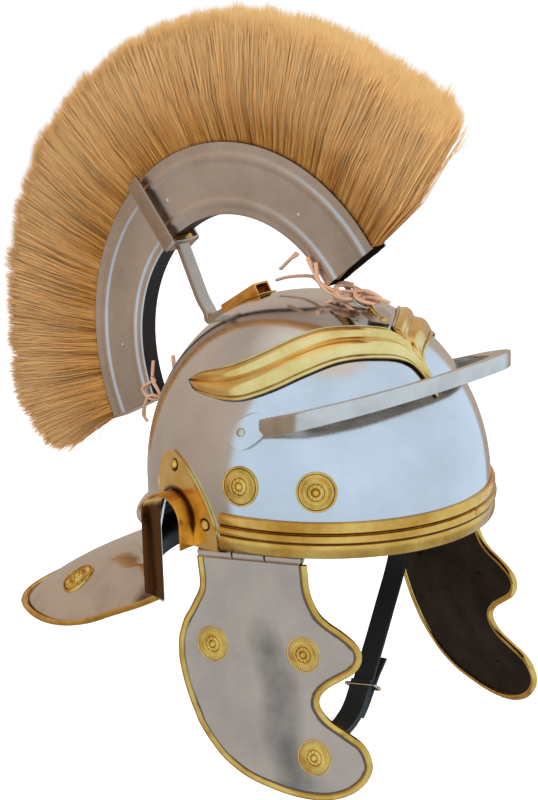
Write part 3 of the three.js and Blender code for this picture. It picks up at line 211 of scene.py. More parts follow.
def tidy(obj, caps=False, angle=38):
    """Merges doubles, closes open ends where asked, turns faces outwards and smooths the form"""
    edit(obj)
    bpy.ops.mesh.remove_doubles(threshold=2e-6)
    bpy.ops.mesh.dissolve_degenerate(threshold=1e-7)
    if caps:
        bpy.ops.mesh.select_all(action="SELECT")
        bpy.ops.mesh.fill_holes(sides=0)
    bpy.ops.mesh.select_all(action="SELECT")
    bpy.ops.mesh.normals_make_consistent(inside=False)
    leave()
    bpy.ops.object.shade_smooth_by_angle(angle=radians(angle))
    return obj


def loft(name, points, around=False, closed=False, caps=False, angle=38):
    """A grid primitive laid over rows and columns of points"""
    p = np.asarray(points, float)
    if around:
        p = np.concatenate([p, p[:, :1]], axis=1)
    if closed:
        p = np.concatenate([p, p[:1]], axis=0)
    rows, columns = p.shape[:2]
    deselect()
    bpy.ops.mesh.primitive_grid_add(x_subdivisions=columns - 1, y_subdivisions=rows - 1, size=1,
                                    location=(0, 0, 0))
    obj = bpy.context.object
    obj.name = obj.data.name = name
    co = np.empty(len(obj.data.vertices) * 3)
    obj.data.vertices.foreach_get("co", co)
    co = co.reshape(-1, 3)
    u = np.rint((co[:, 0] + 0.5) * (columns - 1)).astype(int)
    v = np.rint((co[:, 1] + 0.5) * (rows - 1)).astype(int)
    obj.data.vertices.foreach_set("co", (p[v, u] * MM).ravel())
    obj.data.update()
    return tidy(obj, caps, angle)


def towards(obj, direction):
    """Turns an open sheet's faces to look mostly along a direction, or away from a point given as a tuple"""
    mesh = obj.data
    n = np.empty(len(mesh.polygons) * 3)
    mesh.polygons.foreach_get("normal", n)
    c = np.empty(len(mesh.polygons) * 3)
    mesh.polygons.foreach_get("center", c)
    n, c = n.reshape(-1, 3), c.reshape(-1, 3)
    way = c - np.array(direction) * MM if isinstance(direction, tuple) else np.asarray(direction, float)
    if (n * way).sum(axis=1).mean() < 0:
        edit(obj)
        bpy.ops.mesh.flip_normals()
        leave()
    return obj


def modify(obj, kind, **settings):
    """Adds a modifier and applies it"""
    deselect()
    obj.select_set(True)
    bpy.context.view_layer.objects.active = obj
    bpy.ops.object.modifier_add(type=kind)
    modifier = obj.modifiers[-1]
    for key, value in settings.items():
        setattr(modifier, key, value)
    bpy.ops.object.modifier_apply(modifier=modifier.name)
    return obj


def thicken(obj, thickness, inner=0):
    """Gives a sheet its wall on the inner side, whose faces may take another slot"""
    modify(obj, "SOLIDIFY", thickness=thickness * MM, offset=-1, use_even_offset=True, material_offset=inner)
    return obj


def frames(path, side=None, closed=False):
    """Two directions across a path, steady along it"""
    p = np.asarray(path, float)
    if closed:
        way = unit(np.roll(p, -1, axis=0) - np.roll(p, 1, axis=0))
    else:
        way = unit(np.gradient(p, axis=0))
    if side is not None:
        a = unit(np.cross(np.broadcast_to(np.asarray(side, float), way.shape), way))
        return a, np.cross(way, a)
    a = np.zeros_like(p)
    guess = np.array([0.0, 0.0, 1.0]) if abs(way[0][2]) < 0.9 else np.array([1.0, 0.0, 0.0])
    for i, w in enumerate(way):
        guess = unit(guess - w * guess.dot(w))
        a[i] = guess
    return a, np.cross(way, a)


def sweep(name, path, section, side=None, closed=False, scale=None):
    """An outline carried along a path"""
    a, b = frames(path, side, closed)
    s = np.ones(len(path)) if scale is None else np.asarray(scale)
    across = a[:, None] * section[None, :, :1] + b[:, None] * section[None, :, 1:]
    p = path[:, None] + across * s[:, None, None]
    return loft(name, p, around=True, closed=closed, caps=not closed)


def turned(name, profile, sides=48):
    """A profile of radius and height spun round Z, closed at the axis"""
    prof = np.asarray(profile, float)
    a = np.linspace(0, 2 * pi, sides, endpoint=False)
    p = xyz(prof[:, :1] * np.cos(a), prof[:, :1] * np.sin(a), np.repeat(prof[:, 1:], sides, axis=1))
    return loft(name, p, around=True, caps=False)


def place(obj, at, out, up=(0, 0, 1), name=None):
    """A copy with its own mesh, its Z turned to out and its middle put at a point"""
    copy = bpy.data.objects.new(name or obj.name, obj.data.copy())
    copy.data.name = copy.name
    bpy.context.collection.objects.link(copy)
    z = Vector(out).normalized()
    x = Vector(up).cross(z).normalized()
    y = z.cross(x)
    turn = Matrix((x, y, z)).transposed().to_4x4()
    turn.translation = Vector(np.asarray(at, float) * MM)
    copy.data.transform(turn)
    return copy


def mirrored(obj, name):
    """The same piece on the wearer's left"""
    copy = bpy.data.objects.new(name, obj.data.copy())
    copy.data.name = name
    bpy.context.collection.objects.link(copy)
    copy.data.transform(Matrix.Scale(-1, 4, (1, 0, 0)))
    edit(copy)
    bpy.ops.mesh.flip_normals()
    leave()
    return copy


def joined(name, objects):
    """Several meshes made one piece"""
    deselect()
    for obj in objects:
        obj.select_set(True)
    bpy.context.view_layer.objects.active = objects[0]
    bpy.ops.object.join()
    objects[0].name = objects[0].data.name = name
    return objects[0]


def paint(obj, key, values):
    """Stores one number for each point of a mesh"""
    layer = obj.data.attributes.new(key, "FLOAT", "POINT")
    layer.data.foreach_set("value", np.asarray(values, np.float32))


def points_of(obj):
    """A mesh's points in millimetres"""
    co = np.empty(len(obj.data.vertices) * 3)
    obj.data.vertices.foreach_get("co", co)
    return co.reshape(-1, 3) / MM


def dress(obj, body, nodes, slot, *finishes):
    """Gives a piece its finishes and its body, and hides the frame's nodes that it stands for; the slot is
    not used
    """
    if not len(obj.data.materials):
        for finish in finishes:
            obj.data.materials.append(bpy.data.materials[finish])
    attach(obj, body)
    if nodes:
        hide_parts(*nodes)
    return obj


# Finishes

def linear(code):
    """sRGB hex to linear colour"""
    parts = [int(code[i:i + 2], 16) / 255 for i in (1, 3, 5)]
    return tuple(c / 12.92 if c <= 0.04045 else ((c + 0.055) / 1.055) ** 2.4 for c in parts) + (1.0,)


def add(tree, kind, values=None, links=None, stops=None, **settings):
    """Adds a node with its settings, values, colour stops and links"""
    node = tree.nodes.new(kind)
    for key, value in settings.items():
        setattr(node, key, value)
    for key, value in (values or {}).items():
        node.inputs[key].default_value = value
    for key, (source, socket) in (links or {}).items():
        tree.links.new(source.outputs[socket], node.inputs[key])
    if stops:
        ramp = node.color_ramp.elements
        ramp[0].position, ramp[1].position = stops[0][0], stops[-1][0]
        for at, _ in stops[1:-1]:
            ramp.new(at)
        for element, (_, colour) in zip(ramp, stops):
            element.color = colour if len(colour) == 4 else (*colour, 1)
    return node


def blank(name):
    """A new material with its shader and output"""
    material = bpy.data.materials.new(name)
    material.use_nodes = True
    tree = material.node_tree
    tree.nodes.clear()
    shader = add(tree, "ShaderNodeBsdfPrincipled")
    add(tree, "ShaderNodeOutputMaterial", links={"Surface": (shader, "BSDF")})
    return tree, shader


def metal(name, light, dark, rough, cloud_mm, brush_mm, scratch=0.02, stain=None, stain_key=None,
          stretch=(1, 1, 1)):
    """Metal whose tone and gloss drift with handling, over fine marks of polishing"""
    tree, shader = blank(name)
    shader.inputs["Metallic"].default_value = 1.0
    where = add(tree, "ShaderNodeTexCoord")
    cloud = add(tree, "ShaderNodeTexNoise", {"Scale": 1 / (cloud_mm * MM), "Detail": 4.0, "Roughness": 0.6},
                {"Vector": (where, "Object")})
    tone = add(tree, "ShaderNodeValToRGB", links={"Fac": (cloud, "Fac")},
               stops=[(0.3, linear(dark)), (0.62, linear(light))])
    colour, socket = tone, "Color"
    # The second tone is laid in patches, all over or where a stored key asks; on some finishes it is tarnish,
    # on others painted shade and reflection
    if stain:
        spots = add(tree, "ShaderNodeTexNoise",
                    {"Scale": 1 / (cloud_mm * 0.45 * MM), "Detail": 6.0, "Roughness": 0.65},
                    {"Vector": (where, "Object")})
        if stain_key:
            key = add(tree, "ShaderNodeAttribute", attribute_name=stain_key)
            both = add(tree, "ShaderNodeMath", {1: 0.42}, {0: (spots, "Fac")}, operation="SUBTRACT")
            both = add(tree, "ShaderNodeMath", {2: 0.0}, {0: (both, 0), 1: (key, "Fac"), 2: (key, "Fac")},
                       operation="MULTIPLY_ADD", use_clamp=True)
            amount = add(tree, "ShaderNodeMapRange", {"From Min": 0.25, "From Max": 0.75},
                         {"Value": (both, 0)})
        else:
            amount = add(tree, "ShaderNodeMapRange", {"From Min": 0.56, "From Max": 0.74, "To Max": 0.75},
                         {"Value": (spots, "Fac")})
        mixed = add(tree, "ShaderNodeMix", {7: linear(stain)}, {0: (amount, 0), 6: (tone, "Color")},
                    data_type="RGBA")
        colour, socket = mixed, 2
    tree.links.new(colour.outputs[socket], shader.inputs["Base Color"])
    spread = add(tree, "ShaderNodeMapping", {"Scale": stretch}, {"Vector": (where, "Object")})
    brush = add(tree, "ShaderNodeTexNoise", {"Scale": 1 / (brush_mm * MM), "Detail": 3.0},
                {"Vector": (spread, "Vector")})
    gloss = add(tree, "ShaderNodeMath", {1: 0.5, 2: 0.0}, {0: (cloud, "Fac"), 2: (brush, "Fac")},
                operation="MULTIPLY_ADD")
    gloss = add(tree, "ShaderNodeMapRange",
                {"From Min": 0.4, "From Max": 1.1, "To Min": rough * 0.72, "To Max": rough * 1.35},
                {"Value": (gloss, 0)})
    tree.links.new(gloss.outputs[0], shader.inputs["Roughness"])
    bump = add(tree, "ShaderNodeBump", {"Strength": scratch * 10, "Distance": 0.00005},
               {"Height": (brush, "Fac")})
    tree.links.new(bump.outputs[0], shader.inputs["Normal"])
    return tree, shader


def make_finishes(c):
    """Every finish of the helmet"""
    # Mild steel, raised and wheel-polished: bright, with hazy clouds where it has been handled
    metal("polished_steel", c.steel, "#cbc7c3", 0.13, 70, 1.6, 0.008, stretch=(0.4, 0.4, 2.5))
    # Mild steel, brushed to a satin and dulled: darker clouds and a softer gloss
    metal("satin_steel", "#d6c8bc", "#bcaea2", 0.3, 60, 1.2, 0.005, stretch=(0.3, 0.3, 3))
    # Thicker sheet, planished and brushed by hand: warm grey, cloudier and duller than the bowl; on the cheek
    # guards a stored key lays painted reflection and shadow over it
    metal("brushed_steel", "#c4ab95", "#b09a87", 0.27, 40, 0.9, 0.003, stain="#645a52", stain_key="hollow",
          stretch=(1, 0.3, 3))
    # The neck guard's polish: browner patches over a bright ground, laid toward its front corners by a stored
    # key as painted shade and reflection of the ear flanges and bowl wall
    metal("handled_steel", "#d2c8bf", "#bcb0a5", 0.17, 40, 1.4, 0.005, stain="#66503f", stain_key="hollow")
    # Steel strip, pickled and buffed: pale grey with short marks
    metal("bright_steel", "#dacfc2", "#bfb3a6", 0.24, 30, 1.0, 0.006)
    # Inside of the sheet, blackened in the forge and oiled: nearly black brown, dull
    metal("blackened_steel", "#40362f", "#251e1a", 0.5, 22, 1.5, 0.03)
    # Brass sheet, pressed and buffed: warm gold, browner where the polish did not reach
    metal("polished_brass", c.brass, "#c2903a", 0.15, 26, 1.3, 0.02, stain="#80511c")
    # The same brass, browned by a stored key: painted shade and tarnish in the ornament's hollows, darker
    # round the ear arches and rivet heads
    metal("pressed_brass", "#fbdc92", "#e2b35a", 0.17, 30, 1.2, 0.01, stain="#4a2d0c", stain_key="hollow")
    # Brass strip, rolled and buffed less: deeper orange gold, with brown painted shade in its grooves and
    # over its lower strip
    metal("rolled_brass", "#eebb60", "#c1832f", 0.16, 30, 1.2, 0.008, stain="#5a3410", stain_key="hollow")
    # Brass browned by solder heat and handling: orange to dark brown patches
    metal("tarnished_brass", "#ffbe62", "#b87a30", 0.26, 16, 1.2, 0.02, stain="#5c3418", stain_key="hollow")
    # Thin brass roundels, die-struck and gilt: deep gold with dark rings in the grooves
    metal("struck_brass", "#eec266", "#c9963e", 0.2, 12, 0.8, 0.01, stain="#4a2b0c", stain_key="hollow")
    # Drawn wire, pale and a little yellow
    metal("drawn_wire", "#d9cfae", "#a8987a", 0.22, 8, 0.8, 0.02)
    make_hair(c)
    make_leather("black_leather", "#1b1614", "#0b0908", 0.62, 1.6)
    make_leather("tan_leather", "#d3a284", "#a9735a", 0.6, 0.9)


def make_hair(c):
    """Stiff animal hair, dyed a golden tan: each hair its own tone, dark at the root and pale at the tip, the
    paling a painted highlight of the lit tips
    """
    tree, shader = blank("crest_hair")
    tone = add(tree, "ShaderNodeAttribute", attribute_name="tone")
    along = add(tree, "ShaderNodeAttribute", attribute_name="along")
    body = add(tree, "ShaderNodeValToRGB", links={"Fac": (tone, "Fac")},
               stops=[(0.0, linear("#85501d")), (0.3, linear(c.hair_dark)), (0.62, linear(c.hair)),
                      (1.0, linear("#f8cb7e"))])
    # Painted highlight: every hair pales toward a light cream along its length, most at the tip
    fade = add(tree, "ShaderNodeMapRange", {"From Min": 0.0, "From Max": 1.0, "To Min": 0.0, "To Max": 0.95},
               {"Value": (along, "Fac")}, interpolation_type="SMOOTHSTEP")
    tip = add(tree, "ShaderNodeMix", {7: linear("#ffdb9a")}, {0: (fade, 0), 6: (body, "Color")},
              data_type="RGBA")
    tree.links.new(tip.outputs[2], shader.inputs["Base Color"])
    shader.inputs["Roughness"].default_value = 0.5
    shader.inputs["Specular IOR Level"].default_value = 0.25
    through = add(tree, "ShaderNodeBsdfTranslucent", links={"Color": (tip, 2)})
    both = add(tree, "ShaderNodeMixShader", {0: 0.4}, {1: (shader, "BSDF"), 2: (through, "BSDF")})
    tree.links.new(both.outputs[0], tree.nodes["Material Output"].inputs["Surface"])
    # The dense core stands in for the packed inner hair; its browner tone is painted shade among the hairs
    tree, shader = blank("hair_core")
    where = add(tree, "ShaderNodeTexCoord")
    grain = add(tree, "ShaderNodeTexNoise", {"Scale": 260.0, "Detail": 3.0}, {"Vector": (where, "Object")})
    tone = add(tree, "ShaderNodeValToRGB", links={"Fac": (grain, "Fac")},
               stops=[(0.35, linear("#8f6233")), (0.7, linear("#b98a55"))])
    tree.links.new(tone.outputs["Color"], shader.inputs["Base Color"])
    shader.inputs["Roughness"].default_value = 0.9


def make_leather(name, light, dark, rough, grain_mm):
    """Leather with its grain"""
    tree, shader = blank(name)
    where = add(tree, "ShaderNodeTexCoord")
    cloud = add(tree, "ShaderNodeTexNoise", {"Scale": 1 / (grain_mm * 9 * MM), "Detail": 4.0},
                {"Vector": (where, "Object")})
    tone = add(tree, "ShaderNodeValToRGB", links={"Fac": (cloud, "Fac")},
               stops=[(0.3, linear(dark)), (0.7, linear(light))])
    tree.links.new(tone.outputs["Color"], shader.inputs["Base Color"])
    grain = add(tree, "ShaderNodeTexVoronoi", {"Scale": 1 / (grain_mm * MM)}, {"Vector": (where, "Object")})
    gloss = add(tree, "ShaderNodeMapRange", {"To Min": rough * 0.85, "To Max": rough * 1.2},
                {"Value": (cloud, "Fac")})
    tree.links.new(gloss.outputs[0], shader.inputs["Roughness"])
    bump = add(tree, "ShaderNodeBump", {"Strength": 0.35, "Distance": 0.0002},
               {"Height": (grain, "Distance")})
    tree.links.new(bump.outputs[0], shader.inputs["Normal"])


# Bowl and neck guard

NECK_RIM = np.array([
    # width, back, down: shares of half width, reach and drop
    [0.94, 0.0, 0.0], [0.955, 0.1, 0.22], [0.98, 0.23, 0.47], [0.995, 0.37, 0.74], [1.0, 0.51, 0.92],
    [0.985, 0.64, 1.0], [0.94, 0.76, 1.0], [0.84, 0.87, 0.99], [0.66, 0.945, 0.98], [0.36, 0.99, 0.97],
    [0.0, 1.0, 0.97],
])
NECK_HALF, NECK_Y, NECK_REACH, NECK_CORNER, NECK_DROP, RIM_RADIUS = 104.0, 42.0, 160.0, 44.0, 38.0, 1.9


def neck_rim(out=0.0, count=161):
    """The neck guard's edge from the right corner round to the left"""
    rows = np.concatenate([NECK_RIM, NECK_RIM[-2::-1] * [-1, 1, 1]])
    plan = np.stack([-NECK_HALF * rows[:, 0], NECK_REACH * rows[:, 1],
                     -NECK_CORNER - NECK_DROP * rows[:, 2]], axis=1)
    line = curve(plan, count)
    away = unit(line[:, :2]) * out
    return xyz(line[:, 0] + away[:, 0], NECK_Y + line[:, 1] + away[:, 1], line[:, 2])


def neck_skin(share, count=161):
    """One line of the neck guard's upper face, from its root at the nape (0) to its rim (1)"""
    line = neck_rim(-RIM_RADIUS - 0.2, count)
    turn = np.arctan2(line[:, 1] / HALF_LENGTH, line[:, 0] / HALF_WIDTH)
    back = np.clip((line[:, 1] - NECK_Y) / NECK_REACH * 2, 0, 1)
    root = shell(turn, np.full(turn.shape, -NAPE_DROP + 2.5), -WALL / 2)
    root[:, 2] += 4 * back
    row = root * (1 - share) + line * share
    swell = (1 - abs(2 * share - 1) ** 3) * (1.25 - 0.25 * np.clip(np.abs(line[:, 0]) / NECK_HALF, 0, 1))
    row[:, 2] += 8 * swell * back
    return row


def cut(obj, cutter):
    """Takes one solid out of another"""
    modify(obj, "BOOLEAN", operation="DIFFERENCE", solver="EXACT", object=cutter)
    bpy.data.objects.remove(cutter, do_unlink=True)


def cutting_box(low, high):
    """A box between two corners, for taking out of another piece"""
    low, high = np.array(low) * MM, np.array(high) * MM
    deselect()
    bpy.ops.mesh.primitive_cube_add(size=1, location=tuple((low + high) / 2), scale=tuple(high - low))
    bpy.ops.object.transform_apply(location=True, rotation=False, scale=True)
    return bpy.context.object


def build_bowl():
    """The raised bowl, cut away over the face and the ears, with its neck guard and rolled rim"""
    turns = np.linspace(0, 2 * pi, 192, endpoint=False)
    levels = np.concatenate([np.linspace(-NAPE_DROP, SPRING, 44)[:-1],
                             SPRING + (HEIGHT - SPRING) * dome_rise(np.sin(np.linspace(0, pi / 2, 62)))])
    p = np.stack([shell(turns, np.full(turns.shape, z)) for z in levels])
    bowl = loft("bowl_raised", p, around=True)
    towards(bowl, (0.0, 0.0, 20.0))
    bowl.data.materials.append(bpy.data.materials["polished_steel"])
    bowl.data.materials.append(bpy.data.materials["blackened_steel"])
    thicken(bowl, WALL, inner=1)
    cut(bowl, cutting_box((-150, -250, -60), (150, EAR_Y, 0)))
    cut(bowl, cutting_box((-150, EAR_Y - EAR_RADIUS, -60), (150, EAR_Y + EAR_RADIUS, EAR_Z)))
    deselect()
    bpy.ops.mesh.primitive_cylinder_add(vertices=96, radius=EAR_RADIUS * MM, depth=0.3,
                                        location=(0, EAR_Y * MM, EAR_Z * MM), rotation=(0, pi / 2, 0))
    bpy.ops.object.transform_apply(location=True, rotation=True, scale=True)
    cut(bowl, bpy.context.object)
    bpy.context.view_layer.objects.active = bowl
    bowl.select_set(True)
    bpy.ops.object.shade_smooth_by_angle(angle=radians(38))

    neck = towards(loft("neck_guard_raised",
                        np.array([neck_skin(share) for share in np.linspace(0, 1, 40)])), [0, 0, 1])
    neck.data.materials.append(bpy.data.materials["handled_steel"])
    neck.data.materials.append(bpy.data.materials["blackened_steel"])
    thicken(neck, WALL, inner=1)
    # Painted shade and reflection: browner patches toward the guard's front corners, beside the ear flanges
    # and the bowl wall
    paint(neck, "hollow", 0.8 * smooth(78, 52, points_of(neck)[:, 1]))
    dress(bowl, "helmet", ["bowl"], "steel")
    dress(neck, "helmet", [], "steel")
    rim = sweep("neck_guard_rolled_rim", neck_rim(0, 241), ring_section(RIM_RADIUS, 14), side=(0, 0, 1))
    dress(rim, "helmet", ["neck_guard_rim"], "brass", "polished_brass")


# Brow band

BAND = [(0.0, 0.30), (0.01, 0.52), (0.05, 0.66), (0.12, 0.72), (0.25, 0.72), (0.34, 0.66), (0.385, 0.42),
        (0.42, 0.42), (0.45, 0.80), (0.49, 1.0), (0.54, 1.06), (0.59, 1.0), (0.63, 0.80), (0.66, 0.42),
        (0.70, 0.42), (0.735, 0.70), (0.80, 0.78), (0.90, 0.78), (0.955, 0.66), (0.99, 0.46), (1.0, 0.25)]


def build_band():
    """The moulded band round the brow, from ear guard to ear guard, and its rivet"""
    profile = curve(BAND, 56)
    height, relief, foot = 21.0, 3.0, -1.0
    end = EAR_Y - EAR_RADIUS - 21
    start = pi - np.arcsin(end / HALF_LENGTH)
    turns = np.linspace(start, 3 * pi - start, 200)
    outer = [shell(turns, np.full(turns.shape, foot + up * height), GAP + out * relief)
             for up, out in profile]
    inner = [shell(turns, np.full(turns.shape, foot + up * height), 0.15) for up in (1.0, 0.5, 0.0)]
    p = np.stack(outer + inner, axis=1)
    band = loft("brow_band_moulded", p, around=True, caps=True)
    # Painted shade: brown in the two grooves of the moulding and over the band's lower strip
    pts = points_of(band)
    up = (pts[:, 2] - foot) / height
    paint(band, "hollow", np.clip(np.exp(-((up - 0.40) / 0.03) ** 2) + np.exp(-((up - 0.685) / 0.03) ** 2)
                                  + 0.42 * smooth(0.42, 0.2, up), 0, 1))
    dress(band, "helmet", ["brow_band"], "brass", "rolled_brass")
    pin = turned("band_rivet", [(0, -1.5), (2.0, -1.5), (2.0, 0.3), (1.7, 0.9), (1.0, 1.3), (0, 1.45)], 20)
    at = np.array([13.0, -111.4, 11.0])
    dress(place(pin, at, skin_normal(at), name="band_rivet_front"), "helmet", [], "brass", "struck_brass")
    bpy.data.objects.remove(pin, do_unlink=True)


# Ear guards

def bezier(a, b, c, d, t):
    """Points of a cubic curve"""
    a, b, c, d = (np.array(v, float) for v in (a, b, c, d))
    t = t[:, None]
    return (1 - t) ** 3 * a + 3 * (1 - t) ** 2 * t * b + 3 * (1 - t) * t ** 2 * c + t ** 3 * d


def build_ear_guards():
    """A plate round each ear, the flange soldered into its arch and two rivets"""
    top = EAR_Z + EAR_RADIUS + 21
    left, right = EAR_Y - EAR_RADIUS, EAR_Y + EAR_RADIUS
    rivets = (EAR_Y + 2.5, EAR_Z + EAR_RADIUS + 14), (left - 10, EAR_Z)
    t = np.linspace(0, 1, 48)
    edge = np.concatenate([
        bezier((left - 19, -4), (left - 20, EAR_Z + 8), (left - 2, top - 6), (EAR_Y + 4, top), t),
        bezier((EAR_Y + 4, top), (right - 1, top + 3), (right + 8, top - 14), (right + 2, EAR_Z + 4), t)[1:],
        np.array([[right + 1.6, -4.0]]),
    ])
    edge = curve(edge[::4], 90)
    a = np.linspace(pi, 0, 40)
    arch = np.concatenate([[[left, -4.0]],
                           np.stack([EAR_Y + EAR_RADIUS * np.cos(a), EAR_Z + EAR_RADIUS * np.sin(a)], axis=1),
                           [[right, -4.0]]])
    run = np.concatenate([[0], np.cumsum(np.linalg.norm(np.diff(arch, axis=0), axis=1))])
    at = np.linspace(0, run[-1], 90)
    arch = np.stack([np.interp(at, run, arch[:, k]) for k in range(2)], axis=1)
    shares = np.linspace(0, 1, 18)
    rows = []
    for share in shares:
        flat = arch * (1 - share) + edge * share
        bead = 0.5 * np.exp(-((share - 0.97) / 0.05) ** 2)
        rows.append(side_skin(flat[:, 0], flat[:, 1], 1.5 + bead))
    for share in shares[::-1]:
        flat = arch * (1 - share) + edge * share
        rows.append(side_skin(flat[:, 0], flat[:, 1], 0.2))
    plate = loft("ear_plate", np.stack(rows, axis=1), around=True, caps=True)

    a = np.linspace(pi, 0, 44)
    r = EAR_RADIUS - GAP - 0.6
    path = np.concatenate([
        [[EAR_Y - r, z] for z in np.linspace(-4, EAR_Z, 8, endpoint=False)],
        np.stack([EAR_Y + r * np.cos(a), EAR_Z + r * np.sin(a)], axis=1),
        [[EAR_Y + r, z] for z in np.linspace(EAR_Z, -NAPE_DROP + 1, 22)[1:]],
    ])
    way = unit(np.gradient(path, axis=0))
    out = np.stack([-way[:, 1], way[:, 0]], axis=1)
    out *= np.sign(((path - [EAR_Y, EAR_Z]) * out).sum(axis=1, keepdims=True))
    section = section_round([(-96.5, -0.6), (-96.5, 0.6), (-110.5, 0.6), (-110.5, -0.6)], 0.45, 4)
    bell = lambda x: 0.9 * np.clip((-x - 106) / 4.5, 0, 1) ** 2
    p = np.stack([xyz(x, path[:, 0] + out[:, 0] * (s + bell(x)), path[:, 1] + out[:, 1] * (s + bell(x)))
                  for x, s in section], axis=1)
    sole = -NAPE_DROP + 1.4 + 9 * (-96.5 - p[..., 0]) / 14
    p[..., 2] = np.where(p[..., 1] > EAR_Y, np.maximum(p[..., 2], sole), p[..., 2])
    flange = loft("ear_flange", p, around=True, caps=True)
    pts = points_of(flange)
    rear = smooth(EAR_Y + 4, EAR_Y + 13, pts[:, 1]) * smooth(24, 10, pts[:, 2])
    front = smooth(EAR_Y - 6, EAR_Y - 14, pts[:, 1]) * 0.1
    paint(flange, "hollow", np.clip(rear + front + 0.1, 0, 1))
    pts = points_of(plate)
    near = np.hypot(pts[:, 1] - EAR_Y, pts[:, 2] - EAR_Z)
    spots = np.min([np.hypot(pts[:, 1] - y, pts[:, 2] - z) for y, z in rivets], axis=0)
    paint(plate, "hollow", np.maximum(0.75 * smooth(EAR_RADIUS + 5, EAR_RADIUS, near),
                                      0.9 * smooth(4.6, 3.2, spots)))
    plate.data.materials.append(bpy.data.materials["pressed_brass"])
    flange.data.materials.append(bpy.data.materials["tarnished_brass"])
    guard = joined("ear_guard_soldered_right", [plate, flange])
    other = mirrored(guard, "ear_guard_soldered_left")
    dress(guard, "helmet", ["ear_guard_right"], "brass")
    dress(other, "helmet", ["ear_guard_left"], "brass")
    head = turned("ear_rivet", [(0, -2), (2.9, -2), (2.9, 0.2), (2.6, 1.1), (1.6, 1.9), (0, 2.3)], 24)
    for i, (y, z) in enumerate(rivets, 1):
        at = side_skin(np.array(y), np.array(z), 1.6)
        rivet = place(head, at, skin_normal(at), name="ear_rivet_head_%d_right" % i)
        paint(rivet, "hollow", np.zeros(len(rivet.data.vertices)))
        pair = mirrored(rivet, "ear_rivet_head_%d_left" % i)
        dress(rivet, "helmet", ["ear_rivet_%d_right" % i], "brass", "struck_brass")
        dress(pair, "helmet", ["ear_rivet_%d_left" % i], "brass", "struck_brass")
    bpy.data.objects.remove(head, do_unlink=True)


# Brow ornament

BROW = np.array([
    # top y, top z, foot y, foot z: shares of the bowl's half length and height
    [0.292, 0.664, 0.285, 0.657], [0.201, 0.707, 0.21, 0.633], [0.101, 0.733, 0.12, 0.629],
    [-0.018, 0.769, -0.02, 0.625], [-0.127, 0.815, -0.16, 0.641], [-0.224, 0.865, -0.3, 0.69],
    [-0.323, 0.907, -0.419, 0.75], [-0.407, 0.911, -0.518, 0.792], [-0.478, 0.901, -0.618, 0.794],
    [-0.5245, 0.885, -0.719, 0.748],
])
BROW_RELIEF = [(0, 0.15), (0.03, 0.3), (0.06, 0.12), (0.11, 0.5), (0.2, 1.0), (0.3, 0.85), (0.38, 0.35),
               (0.43, 0.2), (0.5, 0.45), (0.6, 0.95), (0.68, 1.0), (0.78, 0.75), (0.86, 0.35), (0.92, 0.12),
               (0.96, 0.3), (1, 0.15)]


def build_ornament():
    """The embossed eyebrows, joined over the nose"""
    top = np.stack([side_skin(a * HALF_LENGTH, b * HEIGHT) for a, b in BROW[:, :2]])
    foot = np.stack([side_skin(a * HALF_LENGTH, b * HEIGHT) for a, b in BROW[:, 2:]])
    top = np.concatenate([top, [[0, -0.575 * HALF_LENGTH, 0]], (top * [-1, 1, 1])[::-1]])
    foot = np.concatenate([foot, [[0, -0.845 * HALF_LENGTH, 0]], (foot * [-1, 1, 1])[::-1]])
    top, foot = curve(top[:, :2], 261), curve(foot[:, :2], 261)
    along = np.linspace(-1, 1, 261)
    relief = curve(BROW_RELIEF, 60)
    upper, lower = [], []
    for share, high in relief:
        flat = top * (1 - share) + foot * share
        skin = xyz(flat[:, 0], flat[:, 1], crown(flat[:, 0], flat[:, 1]))
        out = skin_normal(skin)
        taper = np.clip((1 - np.abs(along)) / 0.1, 0.15, 1)
        vee = 0.8 * np.exp(-(along / 0.035) ** 2) * np.sin(pi * share)
        upper.append(skin + out * (1.4 + (2.6 * high + vee) * taper)[:, None])
        lower.append(skin + out * 0.5)
    p = np.stack(upper + lower[::-1], axis=1)
    ornament = loft("brow_ornament_embossed", p, around=True, caps=True)
    # Painted shade and tarnish: browner where the relief stands low, in the hollows round the flutes
    pts = points_of(ornament)
    skin = xyz(pts[:, 0], pts[:, 1], crown(pts[:, 0], pts[:, 1]))
    stand = ((pts - skin) * skin_normal(skin)).sum(axis=1)
    paint(ornament, "hollow", np.clip(smooth(2.3, 1.5, stand) * 0.8, 0, 1))
    dress(ornament, "helmet", ["brow_ornament"], "brass", "pressed_brass")


# Peak

PEAK_TILT = np.tan(radians(18))
PEAK_Y, PEAK_Z = -22.0, 66.0
PEAK_HALF, PEAK_END_HALF = 89, 82.9
PEAK_START, PEAK_REACH = 11, 91.5


def peak_point(share, out, up):
    """Point of the peak's bar from its right end (0) to its left (1)"""
    turn = pi * share
    ends = smooth(0, 1, np.clip(1 - np.minimum(share, 1 - share) * 9, 0, 1))
    half = PEAK_HALF + (PEAK_END_HALF - PEAK_HALF) * ends + out
    x = -half * np.sign(np.cos(turn)) * np.abs(np.cos(turn)) ** 0.85
    along = PEAK_START + (PEAK_REACH - PEAK_START + out) * np.sin(turn) ** 0.85
    return xyz(x, PEAK_Y - along, PEAK_Z + along * PEAK_TILT + up)


